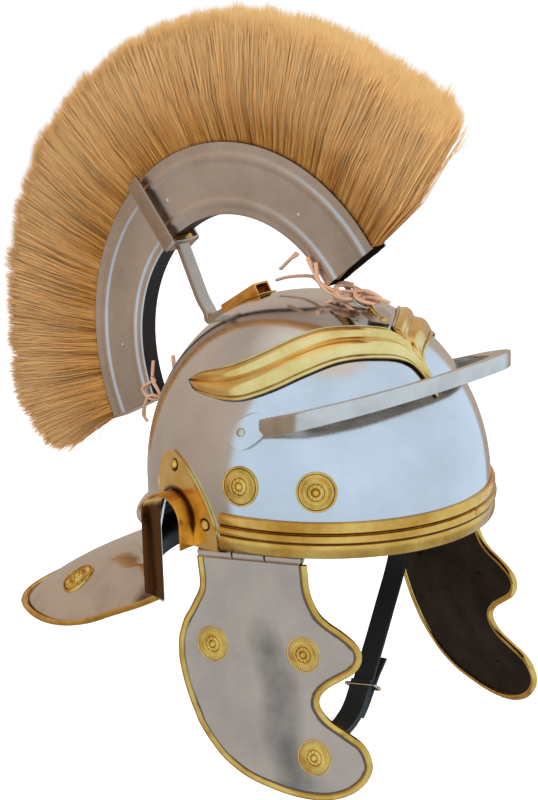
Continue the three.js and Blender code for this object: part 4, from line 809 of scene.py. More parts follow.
def build_peak():
    """The bar across the brow with its shelf, its riveted pads and their rivets"""
    share = np.linspace(0, 1, 200)
    face = 11.6 * (1 - 0.18 * np.sin(pi * share))
    shelf = np.clip(np.minimum(share, 1 - share) * 7, 0, 1)
    corners = section_round([(0, -5), (0, 5), (-12, 5), (-12, 2.8), (-2.2, 2.8), (-2.2, -5)], 1.0, 5)
    columns = []
    for x, z in corners:
        depth = np.where(x < -2.3, -2.6 + (x + 2.6) * shelf, x)
        height = np.where(z > 0, face / 2 - (5 - z), z * face / 10)
        columns.append(peak_point(share, depth + 2.2, height))
    bar = loft("peak_bar", np.stack(columns, axis=1), around=True, caps=True, angle=30)
    rows = np.linspace(0, 1, 40)
    along = 26 * (0.45 - 1.2 * rows)
    tall = np.maximum(9.5 * np.sin(pi * np.clip(rows, 0.04, 0.8) / 0.95), 1.5)
    grid = [side_skin(PEAK_Y + along, PEAK_Z - along * PEAK_TILT + v * tall, GAP + 0.1)
            for v in np.linspace(-1, 1, 22)]
    pad = towards(loft("peak_pad", np.array(grid)), [-1, 0, 0])
    modify(pad, "SOLIDIFY", thickness=2.2 * MM, offset=1)
    modify(pad, "BEVEL", width=0.5 * MM, segments=2, limit_method="ANGLE", angle_limit=radians(50))
    pad.data.materials.append(bpy.data.materials["polished_steel"])
    bar.data.materials.append(bpy.data.materials["bright_steel"])
    both = mirrored(pad, "peak_pad_other")
    peak = joined("peak_forged", [bar, pad, both])
    dress(peak, "helmet", ["peak"], "steel")
    head = turned("peak_rivet", [(0, -1.2), (2.7, -1.2), (2.7, 0.2), (2.4, 1.0), (1.6, 1.7), (0, 2.1)], 28)
    at = side_skin(np.array(PEAK_Y), np.array(PEAK_Z), 2.7)
    rivet = place(head, at, skin_normal(at), name="peak_rivet_head_right")
    pair = mirrored(rivet, "peak_rivet_head_left")
    dress(rivet, "helmet", ["peak_rivet_right"], "steel", "drawn_wire")
    dress(pair, "helmet", ["peak_rivet_left"], "steel", "drawn_wire")
    bpy.data.objects.remove(head, do_unlink=True)


# Rosettes

BOWL_ROSETTE, CHEEK_ROSETTE, ROSETTE_RISE = 11.6, 10.9, 2.9

def rosette_mesh():
    """A struck roundel: rolled edge, ribbed field, two rings, a petalled boss and a stud"""
    sides = 120
    a = np.linspace(0, 2 * pi, sides, endpoint=False)
    r = np.concatenate([np.linspace(1, 0.9, 6), np.linspace(0.88, 0.5, 14), np.linspace(0.48, 0.0, 18)])
    base = np.interp(r, [0, 0.05, 0.12, 0.17, 0.2, 0.26, 0.34, 0.4, 0.43, 0.47, 0.5, 0.53, 0.84, 0.88, 0.93,
                         0.98, 1],
                     [1, 0.98, 0.85, 0.5, 0.42, 0.66, 0.62, 0.4, 0.3, 0.44, 0.44, 0.28, 0.2, 0.12, 0.34, 0.3,
                      0.1])
    rows = []
    for radius, high in zip(r, base):
        rib = np.exp(-((radius - 0.69) / 0.13) ** 4) * 0.09 * np.cos(40 * a)
        petal = np.exp(-((radius - 0.31) / 0.1) ** 4) * 0.07 * np.cos(10 * a)
        rows.append(xyz(radius * np.cos(a), radius * np.sin(a), high + rib + petal))
    skirt = [xyz(np.cos(a), np.sin(a), np.full(sides, -0.2))]
    return loft("rosette", np.array(skirt + rows), around=True, caps=True, angle=60)


def lay_rosette(master, name, at, out, radius, rise, onto):
    """A copy of the roundel dished to lie on the skin that onto finds"""
    obj = place(master, (0, 0, 0), out, name=name)
    pts = points_of(obj)
    axis = unit(np.asarray(out, float))
    height = pts @ axis
    flat = pts - height[:, None] * axis
    radial = np.linalg.norm(flat, axis=1)
    new = onto(np.asarray(at, float) + flat * radius) + height[:, None] * rise * axis
    obj.data.vertices.foreach_set("co", (new * MM).ravel())
    obj.data.update()
    grooves = sum(np.exp(-((radial - ring) / wide) ** 2)
                  for ring, wide in ((0.885, 0.02), (0.43, 0.025), (0.19, 0.02)))
    field = np.where((radial > 0.53) & (radial < 0.86), np.clip((0.26 - height) / 0.12, 0, 1) * 0.5, 0)
    paint(obj, "hollow", np.clip(grooves * 0.7 + field, 0, 1))
    return obj


def build_rosettes():
    """The struck roundels of the bowl, the neck guard and the cheek guards"""
    master = rosette_mesh()
    spots = []
    on_bowl = lambda p: side_skin(p[..., 1], p[..., 2], 0.3)
    for where, y in (("rear", -0.229), ("front", -0.606)):
        at = side_skin(np.array(y * HALF_LENGTH), np.array(0.286 * HEIGHT), 0.3)
        spots.append(("bowl_rosette_struck_" + where, "bowl_rosette_" + where, at, skin_normal(at),
                      BOWL_ROSETTE, "helmet", on_bowl))
    at = (np.array(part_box("neck_rosette_right")[0]) + np.array(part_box("neck_rosette_right")[1])) / 2 / MM
    grid = np.array([neck_skin(share, 321) for share in np.linspace(0.3, 0.9, 90)])
    near = np.unravel_index(np.argmin(np.linalg.norm(grid[:, :, :2] - at[:2], axis=2)), grid.shape[:2])
    row, column = near
    a = grid[row + 6, column] - grid[row - 6, column]
    b = grid[row, column + 8] - grid[row, column - 8]
    out = unit(np.cross(a, b))
    out = out if out[2] > 0 else -out
    flat_grid = grid.reshape(-1, 3)

    def on_neck(p):
        near = [np.argmin(np.linalg.norm(flat_grid[:, :2] - q[:2], axis=1)) for q in p]
        return xyz(p[:, 0], p[:, 1], flat_grid[near, 2] + 0.2)

    spots.append(("neck_rosette_struck", "neck_rosette", grid[near], out, BOWL_ROSETTE, "helmet", on_neck))

    def on_guard(p):
        along = (p[..., 1] - HINGE_REAR[1]) / (HINGE_FRONT[1] - HINGE_REAR[1])
        depth = HINGE_REAR[2] + (HINGE_FRONT[2] - HINGE_REAR[2]) * along - p[..., 2]
        flat = np.stack([p[..., 1], depth], axis=-1)
        return guard_skin(flat, 0.15, guard_swell(flat))

    for where, (y, depth) in CHEEK_SPOTS.items():
        flat = np.array([y, depth])
        across = guard_skin(flat + [1, 0]) - guard_skin(flat - [1, 0])
        down = guard_skin(flat + [0, 1]) - guard_skin(flat - [0, 1])
        out = unit(np.cross(across, down))
        out = out if out[0] < 0 else -out
        spots.append(("cheek_rosette_struck_" + where, "cheek_rosette_" + where, guard_skin(flat), out,
                      CHEEK_ROSETTE, "guard", on_guard))
    for name, node, at, out, radius, body, onto in spots:
        right = lay_rosette(master, name + "_right", at, out, radius, ROSETTE_RISE, onto)
        left = mirrored(right, name + "_left")
        for obj, side in ((right, "right"), (left, "left")):
            dress(obj, body if body == "helmet" else "guard_" + side, ["%s_%s" % (node, side)], "brass",
                  "struck_brass")
    bpy.data.objects.remove(master, do_unlink=True)


# Crest box, fork and bracket

def build_crest_box():
    """The bent channel that holds the hair, ribbed on both cheeks, with its cap and nails"""
    depth = CREST_OUTER - CREST_INNER
    share = np.linspace(0, 1, 60)
    ribs = np.exp(-((share - 0.17) / 0.055) ** 4) + np.exp(-((share - 0.8) / 0.055) ** 4)
    side = [(CREST_HALF + 0.8 * rib, s * depth) for s, rib in zip(share, ribs)]
    side[0] = (CREST_HALF - 0.5, 0.0)
    inner = [(CREST_HALF - 1.2, depth), (CREST_HALF - 1.2, 1.2)]
    half = side + inner
    outline = np.array(half + [(-x, r) for x, r in half[::-1]])
    angles = np.linspace(CREST_REAR, CREST_FRONT, 150)
    p = np.stack([crest(x, CREST_INNER + r, angles) for x, r in outline], axis=1)
    box = loft("crest_box_channel", p, around=True, caps=True)
    box.data.materials.append(bpy.data.materials["satin_steel"])
    box.data.materials.append(bpy.data.materials["blackened_steel"])
    n = np.empty(len(box.data.polygons) * 3)
    c = np.empty(len(box.data.polygons) * 3)
    box.data.polygons.foreach_get("normal", n)
    box.data.polygons.foreach_get("center", c)
    n, c = n.reshape(-1, 3), c.reshape(-1, 3) / MM
    inward = unit(np.stack([CREST_Y - c[:, 1], CREST_Z - c[:, 2]], axis=1))
    under = (n[:, 1:] * inward).sum(axis=1) > 0.8
    inside = np.abs(c[:, 0]) < CREST_HALF - 1.1
    box.data.polygons.foreach_set("material_index", (under | inside).astype(np.int32))
    rear = np.array([crest(x, r, CREST_REAR) for x, r in
                     section_round([(-CREST_HALF - 0.2, CREST_INNER - 0.3),
                                    (CREST_HALF + 0.2, CREST_INNER - 0.3),
                                    (CREST_HALF + 0.2, CREST_OUTER + 0.3),
                                    (-CREST_HALF - 0.2, CREST_OUTER + 0.3)], 2.0, 5)])
    back = np.array([0, sin(CREST_REAR), -cos(CREST_REAR)])
    cap = loft("crest_box_cap", np.array([rear + back * 0.2, rear + back * 1.3]), around=True, caps=True)
    cap.data.materials.append(bpy.data.materials["bright_steel"])
    nail = turned("crest_nail", [(0, -0.6), (1.9, -0.6), (1.9, 0.1), (1.5, 0.7), (0, 1.1)], 18)
    nails = []
    for i, (radius, degrees) in enumerate([(106.1, 118.2), (109.8, 57.1), (108.1, -3.9)]):
        for sign in (-1, 1):
            at = crest(sign * CREST_HALF, radius, radians(degrees))
            one = place(nail, at, (sign, 0, 0), name="nail_%d_%d" % (i, sign))
            one.data.materials.append(bpy.data.materials["bright_steel"])
            nails.append(one)
    bpy.data.objects.remove(nail, do_unlink=True)
    box = joined("crest_box_channel", [box, cap] + nails)
    dress(box, "helmet", ["crest_box"], "steel")


def build_fork():
    """The strap and stem that carry the crest, and the socket on the crown"""
    angle = radians(50)
    out = np.array([0, cos(angle), sin(angle)])
    along = np.array([0, -sin(angle), cos(angle)])
    centre = np.array([0, CREST_Y, CREST_Z])
    inside, strip, wide = CREST_HALF + 1.4 + 2.2, 1.6, 11.0
    foot = CREST_INNER - 0.3 - 3
    mid = inside + strip / 2
    u_line = np.array([(-mid, CREST_OUTER + 1), (-mid, foot + 3), (-mid + 0.8, foot),
                       (-mid + 3, foot - strip / 2),
                       (0, foot - strip / 2 - 0.4), (mid - 3, foot - strip / 2), (mid - 0.8, foot),
                       (mid, foot + 3), (mid, CREST_OUTER + 1)])
    line = curve(u_line, 120)
    path = centre + xyz(line[:, 0], 0, 0) + out * line[:, 1:]
    section = section_round([(-wide / 2, -strip / 2), (wide / 2, -strip / 2), (wide / 2, strip / 2),
                             (-wide / 2, strip / 2)], 0.5, 4)
    flat = np.broadcast_to(along, path.shape)
    normal = np.cross(unit(np.gradient(path, axis=0)), flat)
    p = path[:, None] + flat[:, None] * section[None, :, :1] + normal[:, None] * section[None, :, 1:]
    strap = loft("fork_strap", p, around=True, caps=True)
    cup = section_round([(-6.5, foot - 1.0), (6.5, foot - 1.0), (6.5, CREST_INNER - 0.8),
                         (-6.5, CREST_INNER - 0.8)], 0.8, 4)
    block = np.array([centre + xyz(cup[:, 0], 0, 0) + out * cup[:, 1:] + along * k for k in (-5.0, 5.0)])
    seat = loft("fork_seat", block, around=True, caps=True)
    front_y, length = 38.5, 33.0
    rear_y = front_y + length
    lift = 4.0 / 2 + 2 * GAP + 1.2 * 0.6
    front = np.array([0, front_y, crown(0, front_y) + lift])
    rear = np.array([0, rear_y, crown(0, rear_y) + lift])
    bow = crown(0, (front_y + rear_y) / 2) + lift - (front[2] + rear[2]) / 2
    front[2] += bow
    rear[2] += bow
    back = unit(rear - front)
    heel = rear + back * 17
    start = centre + out * (foot - strip + 0.5)
    spine = curve([start, start * 0.66 + heel * 0.34, start * 0.3 + heel * 0.7,
                   heel + back * 0.8 + [0, 0, 6], heel - back * 1.0,
                   rear + back * 9, rear, rear - back * length * 0.7], 90)
    square = section_round([(-4.5, -2.0), (4.5, -2.0), (4.5, 2.0), (-4.5, 2.0)], 0.6, 4)
    way = unit(np.gradient(spine, axis=0))
    side = np.array([1.0, 0, 0])
    normal = unit(np.cross(way, side))
    p = spine[:, None] + side * square[None, :, :1] + normal[:, None] * square[None, :, 1:]
    stem = loft("fork_stem", p, around=True, caps=True)
    for obj, finish in ((strap, "brushed_steel"), (seat, "tarnished_brass"), (stem, "brushed_steel")):
        obj.data.materials.append(bpy.data.materials[finish])
    fork = joined("crest_fork_forged", [strap, seat, stem])
    dress(fork, "helmet", ["crest_fork"], "steel")

    bore, wall, half = 2.3, 1.2, 5.2
    up = unit(np.cross([1.0, 0, 0], back))
    up = up if up[2] > 0 else -up
    shape = section_round([(-half - wall, -bore - 3), (-half - wall, bore + wall),
                           (half + wall, bore + wall), (half + wall, -bore - 3),
                           (half, -bore - 3), (half, bore), (-half, bore), (-half, -bore - 3)], 1.0, 5)
    span = np.linspace(-1, 1, 40)
    middle = (front + rear) / 2
    p = []
    for s in span:
        at = middle + back * s * length / 2
        p.append(at + xyz(shape[:, 0], 0, 0) + up * shape[:, 1:])
    sleeve = loft("bracket_sleeve", np.array(p), around=True, caps=True)
    foot_rows = []
    for s in np.linspace(-1.0, 1.0, 40):
        y = middle[1] + back[1] * s * (length / 2 + 3.5)
        x = np.linspace(-half - 4.0, half + 4.0, 24)
        foot_rows.append(xyz(x, y, crown(x, y) + 0.5))
    plate = towards(loft("bracket_plate", np.array(foot_rows)), [0, 0, 1])
    modify(plate, "SOLIDIFY", thickness=0.9 * MM, offset=1)
    bracket = joined("crest_bracket_folded", [sleeve, plate])
    paint(bracket, "hollow", np.full(len(bracket.data.vertices), 0.15))
    dress(bracket, "helmet", ["crest_bracket"], "brass", "tarnished_brass")


# Hair

HAIR_LENGTH = 95
HAIR_TIPS = np.array([
    # place round the arc, length as a share of the full length
    [0.0, 0.78], [0.03, 0.93], [0.07, 1.04], [0.11, 1.0], [0.16, 0.955], [0.24, 0.95], [0.36, 0.91],
    [0.46, 0.85],
    [0.62, 0.84], [0.74, 0.87], [0.86, 0.94], [0.94, 0.99], [1.0, 1.03],
])
HAIR_SECTORS = 6


def strands(rng, count, share_from, share_to):
    """Roots, tips, bends and tones of the hairs of one sector, gathered in small tufts"""
    share = rng.uniform(share_from, share_to, count)
    across = rng.uniform(-1, 1, count)
    tuft = np.floor(share * 230).astype(int) * 37 + np.floor((across + 1) * 5).astype(int)
    pick = np.random.default_rng(7).normal(size=(4, 40000))[:, tuft % 40000]
    wide = np.floor(share * 58).astype(int) * 11 + np.floor((across + 1) * 2).astype(int)
    lock = np.random.default_rng(11).normal(size=(3, 9000))[:, wide % 9000]
    rear = CREST_REAR + 1.5 / CREST_INNER
    angle = rear + (CREST_FRONT - 0.012 - rear) * share
    lean = -0.12 * np.clip((share - 0.9) / 0.1, 0, 1) - 0.03 * smooth(0.1, 0.0, share)
    length = HAIR_LENGTH * np.interp(share, HAIR_TIPS[:, 0], HAIR_TIPS[:, 1])
    length *= 0.985 + 0.02 * pick[0] + 0.012 * lock[0] - np.abs(rng.normal(size=count)) * 0.055
    stray = rng.uniform(size=count) < 0.012
    length = np.where(stray, length * rng.uniform(1.0, 1.07, count), length)
    rim = np.sqrt(np.clip(1 - np.abs(across) ** 3, 0, 1))
    length *= 0.93 + 0.07 * rim
    root = crest(across * 4.7, CREST_OUTER - 1.5, angle)
    spread = 14.5 * across + 0.6 * pick[1] + 0.5 * lock[1]
    drift = lean + 0.007 * pick[2] + 0.007 * lock[2] + rng.normal(size=count) * np.where(stray, 0.05, 0.012)
    tip = crest(np.clip(spread, -15.5, 15.5) + rng.normal(size=count) * 0.7, CREST_OUTER + length,
                angle + drift)
    bend = unit(rng.normal(size=(count, 3))) * (rng.uniform(0.4, 2.2, count)[:, None])
    belly = crest(across * (4.7 + 6.8), CREST_OUTER + length * 0.42, angle + drift * 0.35) + bend
    tone = np.clip(0.57 + 0.10 * pick[3] + 0.06 * lock[0] + 0.2 * rng.normal(size=count), 0, 1)
    return root, belly, tip, tone


def hair_piece(name, seed, count, share_from, share_to, thick):
    """Thin tapered hairs in one mesh: three sides, three steps and a point"""
    rng = np.random.default_rng(seed)
    root, belly, tip, tone = strands(rng, count, share_from, share_to)
    way = unit(tip - root)
    a = unit(np.cross(way, unit(rng.normal(size=(count, 3)))))
    b = np.cross(way, a)
    rings = []
    for t, width in ((0.0, 1.0), (0.45, 1.0), (0.9, 0.8)):
        middle = (1 - t) ** 2 * root + 2 * t * (1 - t) * (2 * belly - (root + tip) / 2) + t * t * tip
        for k in range(3):
            turn = 2 * pi * k / 3
            rings.append(middle + (a * cos(turn) + b * sin(turn)) * thick * width / 2)
    verts = np.stack(rings + [tip], axis=1)
    size = verts.shape[1]
    faces = []
    for level in (0, 3):
        for k in range(3):
            j = (k + 1) % 3
            faces.append((level + k, level + j, level + 3 + j, level + 3 + k))
    quads = np.array(faces)
    tris = np.array([(6, 7, 9), (7, 8, 9), (8, 6, 9), (2, 1, 0)])
    base = (np.arange(count) * size)[:, None, None]
    loops = np.concatenate([(base + quads).reshape(count, -1), (base + tris).reshape(count, -1)], axis=1)
    sizes = np.tile([4] * len(quads) + [3] * len(tris), count)
    mesh = bpy.data.meshes.new(name)
    mesh.vertices.add(count * size)
    mesh.vertices.foreach_set("co", (verts * MM).ravel())
    mesh.loops.add(loops.size)
    mesh.loops.foreach_set("vertex_index", loops.ravel().astype(np.int32))
    mesh.polygons.add(len(sizes))
    mesh.polygons.foreach_set("loop_start", np.concatenate([[0], np.cumsum(sizes)[:-1]]).astype(np.int32))
    mesh.update(calc_edges=True)
    mesh.polygons.foreach_set("use_smooth", np.ones(len(sizes), bool))
    obj = bpy.data.objects.new(name, mesh)
    bpy.context.collection.objects.link(obj)
    paint(obj, "tone", np.repeat(tone, size))
    paint(obj, "along", np.tile([0, 0, 0, 0.45, 0.45, 0.45, 0.9, 0.9, 0.9, 1], count))
    return obj


def build_hair(per_sector, thick):
    """The crest in sectors: loose hairs over a dense core"""
    rear = CREST_REAR + 1.5 / CREST_INNER
    for sector in range(HAIR_SECTORS):
        low, high = sector / HAIR_SECTORS, (sector + 1) / HAIR_SECTORS
        hairs = hair_piece("crest_hair_%d" % (sector + 1), 100 + sector, per_sector, low, high, thick)
        share = np.linspace(low, high, 24)
        angle = rear + (CREST_FRONT - 0.014 - rear) * share
        angle[0] += 0.0006
        length = HAIR_LENGTH * np.interp(share, HAIR_TIPS[:, 0], HAIR_TIPS[:, 1])
        lean = -0.12 * np.clip((share - 0.9) / 0.1, 0, 1)
        outline = [(-1, 0.0, 3.0), (-1, 0.3, 3.6), (-1, 0.55, 7.0), (-0.6, 0.76, 6.5), (0.6, 0.76, 6.5),
                   (1, 0.55, 7.0), (1, 0.3, 3.6), (1, 0.0, 3.0)]
        p = np.stack([crest(s * w, CREST_INNER + 4 + (CREST_OUTER - CREST_INNER - 4 + length) * t,
                            angle + lean * t)
                      for s, t, w in outline], axis=1)
        core = loft("crest_core_%d" % (sector + 1), p, around=True, caps=True)
        hairs.data.materials.append(bpy.data.materials["crest_hair"])
        dress(hairs, "helmet", ["plume_%d" % (sector + 1)], "hair")
        dress(core, "helmet", [], "hair", "hair_core")


# Hooks, rings and ties

def tube(name, points, radius, steps=60, sides=10, closed=False, flat=1.0):
    """Wire or thong along a smooth line through points"""
    section = ring_section(radius, sides) * [1, flat]
    return sweep(name, curve(points, steps, closed), section, side=(0.02, 0.03, 1.0), closed=closed)


def ring_points(centre, x_way, y_way, radius, squash):
    """Points of a ring in the plane of two directions"""
    a = np.linspace(0, 2 * pi, 12, endpoint=False)[:, None]
    return centre + np.cos(a) * radius * np.asarray(x_way) + np.sin(a) * radius * squash * np.asarray(y_way)


def hook_piece(name, y, z, lean):
    """A pointed plate riveted on the middle line, with a bent strap that holds the ring"""
    skin = np.array([0, y, z])
    out = skin_normal(skin)
    along = np.array([0, out[2], -out[1]]) * lean
    across = np.array([1.0, 0, 0])
    flat = section_round([(-0.5, -0.35), (0.5, -0.35), (0.5, 0.2), (0.0, 0.65), (-0.5, 0.2)], 0.08, 4)
    base = skin + across * flat[:, :1] * 20 + along * flat[:, 1:] * 16
    plate = loft(name, np.array([base + out * h for h in (-1.2, 1.2, 2.5, 2.8)]), around=True, caps=True)
    plate.data.materials.append(bpy.data.materials["satin_steel"])
    eye = skin - along * 6.2 + out * 3.7
    loop = tube("loop", [skin + along * 1.5 + out * 3.2, skin - along * 2.5 + out * 3.4,
                         eye - along * 2.4 + out * 2.0, eye - along * 3.0 + out * 0.2,
                         eye - along * 2.2 - out * 1.9, skin - along * 3.5 + out * 2.6], 1.5, 50, 10,
                         flat=0.5)
    loop.data.materials.append(bpy.data.materials["struck_brass"])
    stud = turned("stud", [(0, -1), (2.4, -1), (2.4, 0.2), (2.0, 1.0), (1.0, 1.6), (0, 1.8)], 24)
    head = place(stud, skin + along * 5.5 + out * 2.7, out, up=(1, 0, 0), name="stud_head")
    head.data.materials.append(bpy.data.materials["struck_brass"])
    bpy.data.objects.remove(stud, do_unlink=True)
    return joined(name, [plate, loop, head]), eye, along


def build_hooks():
    """The hooks with their rings, front and rear, and the thongs knotted round them"""
    front_y, rear_z = -0.44 * HALF_LENGTH, 0.3243 * HEIGHT
    for place_name, y, z, lean, tilt in (("front", front_y, float(crown(0, front_y)), -1, 0.15),
                                         ("rear", HALF_LENGTH * float(dome_reach(rear_z)), rear_z, 1, -0.6)):
        hook, eye, along = hook_piece(place_name + "_hook_riveted", y, z, lean)
        paint(hook, "hollow", np.full(len(hook.data.vertices), 0.1))
        dress(hook, "helmet", [place_name + "_hook"], "steel")
        lean_way = np.array(Matrix.Rotation(tilt, 3, "X") @ Vector(-along))
        centre = eye + lean_way * 6.6
        ring = tube(place_name + "_ring_wire", ring_points(centre, (1, 0, 0), lean_way, 6.6, 0.98), 0.9, 72,
                    12, closed=True)
        dress(ring, "helmet", [place_name + "_ring"], "steel", "drawn_wire")
    thong = 1.45
    front = [
        [(-9.3, -11, 150), (-9.6, -13, 140), (-8.6, -17, 134.5), (-4.0, -24, 131.5), (1.0, -31, 128.5),
         (3.0, -37, 125.5), (1.5, -41.5, 121.8), (-2.5, -40, 121.0),
         (-4.5, -34, 124.5), (-7.5, -24, 131.2), (-9.2, -17, 135), (-9.8, -12, 141.5), (-8.6, -4, 152)],
        [(9.3, -11, 150), (9.6, -13, 140), (8.6, -17, 134.8), (5.0, -25, 132), (-1.0, -31.5, 128.8),
         (-5.5, -28, 128.6), (-8.5, -22, 128.4), (-11, -17, 125.2), (-12.5, -16, 121.5)],
        [(-3, -26, 133.6), (-1, -33, 134), (0, -41, 135.2), (0.5, -48.7, 133.4), (0, -52, 131.5),
         (1.0, -46, 130), (0, -36, 130.2), (-3, -27, 131)],
        [(0, -42, 131.5), (-1, -50, 132), (-1, -59.4, 130.6)],
        [(-6.5, -26, 133), (-7.5, -14, 137.2), (-3, -3, 139.5), (0, 9, 138.2), (0, 20, 136.2),
         (0, 29, 133.4)],
        [(-4, -21, 134.5), (-9, -26, 132), (-7, -33, 129.8), (0, -36, 131), (6, -32, 133.4), (4, -24, 135.6),
         (-4, -22, 136.2), (-8, -27, 134.6)],
        [(5, -20, 136), (8, -27, 133.5), (3, -35, 133), (-5, -36, 130.8), (-9, -30, 131.4), (-6, -23, 134.8),
         (2, -21, 137.2), (7, -26, 136)],
        [(-2, -31, 131.5), (3, -38, 132.8), (6, -45, 131), (2, -49, 128.6), (-4, -45, 129.4),
         (-5, -38, 131.6), (1, -32, 134.6)],
        [(-9.8, 2.2, 153.5), (-10.4, 8, 150), (-10.6, 14, 144.8), (-10.0, 16, 143.5), (-9.6, 12, 147),
         (-9.2, 4, 154)],
    ]
    rear = [
        [(-9.0, 131, 70), (-9.8, 131.5, 58), (-9.0, 128, 51), (-6.5, 127, 45), (-3, 131, 41), (0, 134, 43.5),
         (2.5, 126, 53), (0, 121, 57), (-3, 119, 56)],
        [(9.0, 131, 70), (9.8, 131, 58), (6.5, 127, 52), (1, 122.5, 54.5), (-2.5, 118, 57), (0.5, 117, 61),
         (4, 119, 63), (0, 123, 69.8)],
        [(-6.5, 128, 46), (-8.5, 136, 46), (-8.0, 142, 38), (-5.5, 146, 30), (-4, 144, 26)],
        [(-8, 131.3, 56.9), (-10, 138, 53), (-10, 141, 49), (-8, 137, 44), (-5, 131, 44)],
    ]
    for name, runs, node in (("front_tie_knotted", front, "front_tie"),
                             ("rear_tie_knotted", rear, "rear_tie")):
        parts = [tube("thong_%d" % i, run, thong, 84, 10, flat=0.72) for i, run in enumerate(runs)]
        dress(joined(name, parts), "helmet", [node], "tan_leather", "tan_leather")


# Cheek guards

GUARD = np.array([
    # down, rear, front: down as a share of the depth, rear and front as shares of the reach
    [0.0, 0.521, -0.544], [0.045, 0.508, -0.555], [0.1, 0.493, -0.571], [0.148, 0.499, -0.606],
    [0.203, 0.553, -0.676],
    [0.24, 0.592, -0.773], [0.277, 0.637, -0.921], [0.324, 0.669, -1.06], [0.376, 0.69, -1.105],
    [0.432, 0.685, -1.056],
    [0.474, 0.673, -0.938], [0.518, 0.647, -0.8], [0.563, 0.616, -0.725], [0.608, 0.578, -0.737],
    [0.657, 0.531, -0.846],
    [0.699, 0.482, -1.026], [0.745, 0.427, -1.195], [0.82, 0.293, -1.28], [0.89, 0.125, -1.243],
    [0.949, -0.11, -1.124],
    [0.985, -0.395, -0.97], [1.0, -0.602, -0.805],
])
GUARD_MIDDLE = -24.5
CHEEK_RIM = 1.6


def guard_skin(flat, stand=0.0, swell=0.0):
    """Skin of the right guard at (y, depth), splayed from its hinge"""
    y, depth = flat[..., 0], flat[..., 1]
    along = (y - HINGE_REAR[1]) / (HINGE_FRONT[1] - HINGE_REAR[1])
    base = HINGE_REAR + (HINGE_FRONT - HINGE_REAR) * along[..., None]
    share = np.clip(depth / GUARD_DEPTH, 0, 1)
    middle = (y - GUARD_MIDDLE) / GUARD_REACH
    hollow = 3.1 * np.sin(pi * share) * (1 - 0.5 * middle ** 2)
    return xyz(base[..., 0] - 0.124 * depth + hollow - stand - swell, y, base[..., 2] - depth)


def guard_swell(flat):
    """Soft embossing of the guard over the cheek and over the jaw"""
    y, depth = flat[..., 0], flat[..., 1]
    middle = np.interp(depth, [0, 50, 80, 110, 138], [-24, -38, -30, -50, -70])
    across = np.exp(-((y - middle) / 30) ** 2)
    return (1.6 * np.exp(-((depth - 50) / 20) ** 2) + 1.6 * np.exp(-((depth - 106) / 20) ** 2)) * across


def guard_edge(margin, count):
    """The guard's outline from its rear top corner round to its front top corner, set in by a margin"""
    down = GUARD_TOP + GUARD[:, 0] * (GUARD_DEPTH - GUARD_TOP)
    rear, front = (np.stack([GUARD_MIDDLE + GUARD[:, k] * GUARD_REACH, down], axis=1) for k in (1, 2))
    line = curve(np.concatenate([rear, front[::-1]]), count)
    way = unit(np.gradient(line, axis=0))
    return line + np.stack([-way[:, 1], way[:, 0]], axis=1) * margin


def build_cheek_guards():
    """Both cheek guards: a raised plate with its rolled rim, and the hinge that carries it"""
    edge = guard_edge(CHEEK_RIM * 0.9, 401)
    shares = np.linspace(0, 1, 64)[:, None]
    flat = np.array([a + (b - a) * shares for a, b in zip(edge[:201], edge[400:199:-1])])
    plate = towards(loft("cheek_plate", guard_skin(flat, 0.65, guard_swell(flat))), [-1, 0, 0])
    plate.data.materials.append(bpy.data.materials["brushed_steel"])
    plate.data.materials.append(bpy.data.materials["blackened_steel"])
    thicken(plate, 1.3, inner=1)
    stud = turned("cheek_stud", [(0, -0.8), (1.5, -0.8), (1.4, 0.3), (0.9, 0.8), (0, 1.0)], 14)
    studs = []
    for y, depth in CHEEK_SPOTS.values():
        flat = np.array([y, depth])
        studs.append(place(stud, guard_skin(flat, -0.65, guard_swell(flat)), (1, 0, 0.1), name="stud"))
        studs[-1].data.materials.append(bpy.data.materials["blackened_steel"])
    bpy.data.objects.remove(stud, do_unlink=True)
    plate = joined("cheek_plate", [plate] + studs)
    rim = sweep("cheek_rim", guard_skin(guard_edge(CHEEK_RIM, 360)), ring_section(CHEEK_RIM * 1.3, 12),
                side=(1, 0, 0))
    # Painted reflection and shadow: a dark band down the plate, running toward the front as it goes down, for
    # the dark reflection across the sheet, and a thin dark line just inside the rim for the rim's shadow
    pts = points_of(plate)
    along = (pts[:, 1] - HINGE_REAR[1]) / (HINGE_FRONT[1] - HINGE_REAR[1])
    depth = HINGE_REAR[2] + (HINGE_FRONT[2] - HINGE_REAR[2]) * along - pts[:, 2]
    middle = np.interp(depth, [0, 40, 75, 105, 130], [-30, -34, -46, -51, -62])
    band = np.exp(-((pts[:, 1] - middle) / 17) ** 2) * smooth(8, 60, depth)
    rims = guard_edge(CHEEK_RIM, 240)
    flat_pts = np.stack([pts[:, 1], depth], axis=1)
    near = np.sqrt(((flat_pts[:, None] - rims[None]) ** 2).sum(axis=2).min(axis=1))
    paint(plate, "hollow", np.clip(0.5 * band + 0.9 * smooth(3.2, 2.3, near), 0, 1))
    for side in SIDES:
        p = plate if side == "right" else mirrored(plate, "cheek_plate_left")
        r = rim if side == "right" else mirrored(rim, "cheek_rim_left")
        p.name, r.name = "cheek_guard_raised_" + side, "cheek_guard_rolled_rim_" + side
        dress(p, "guard_" + side, [], "steel")
        dress(r, "guard_" + side, ["cheek_rim_" + side], "brass", "polished_brass")
    build_hinges()


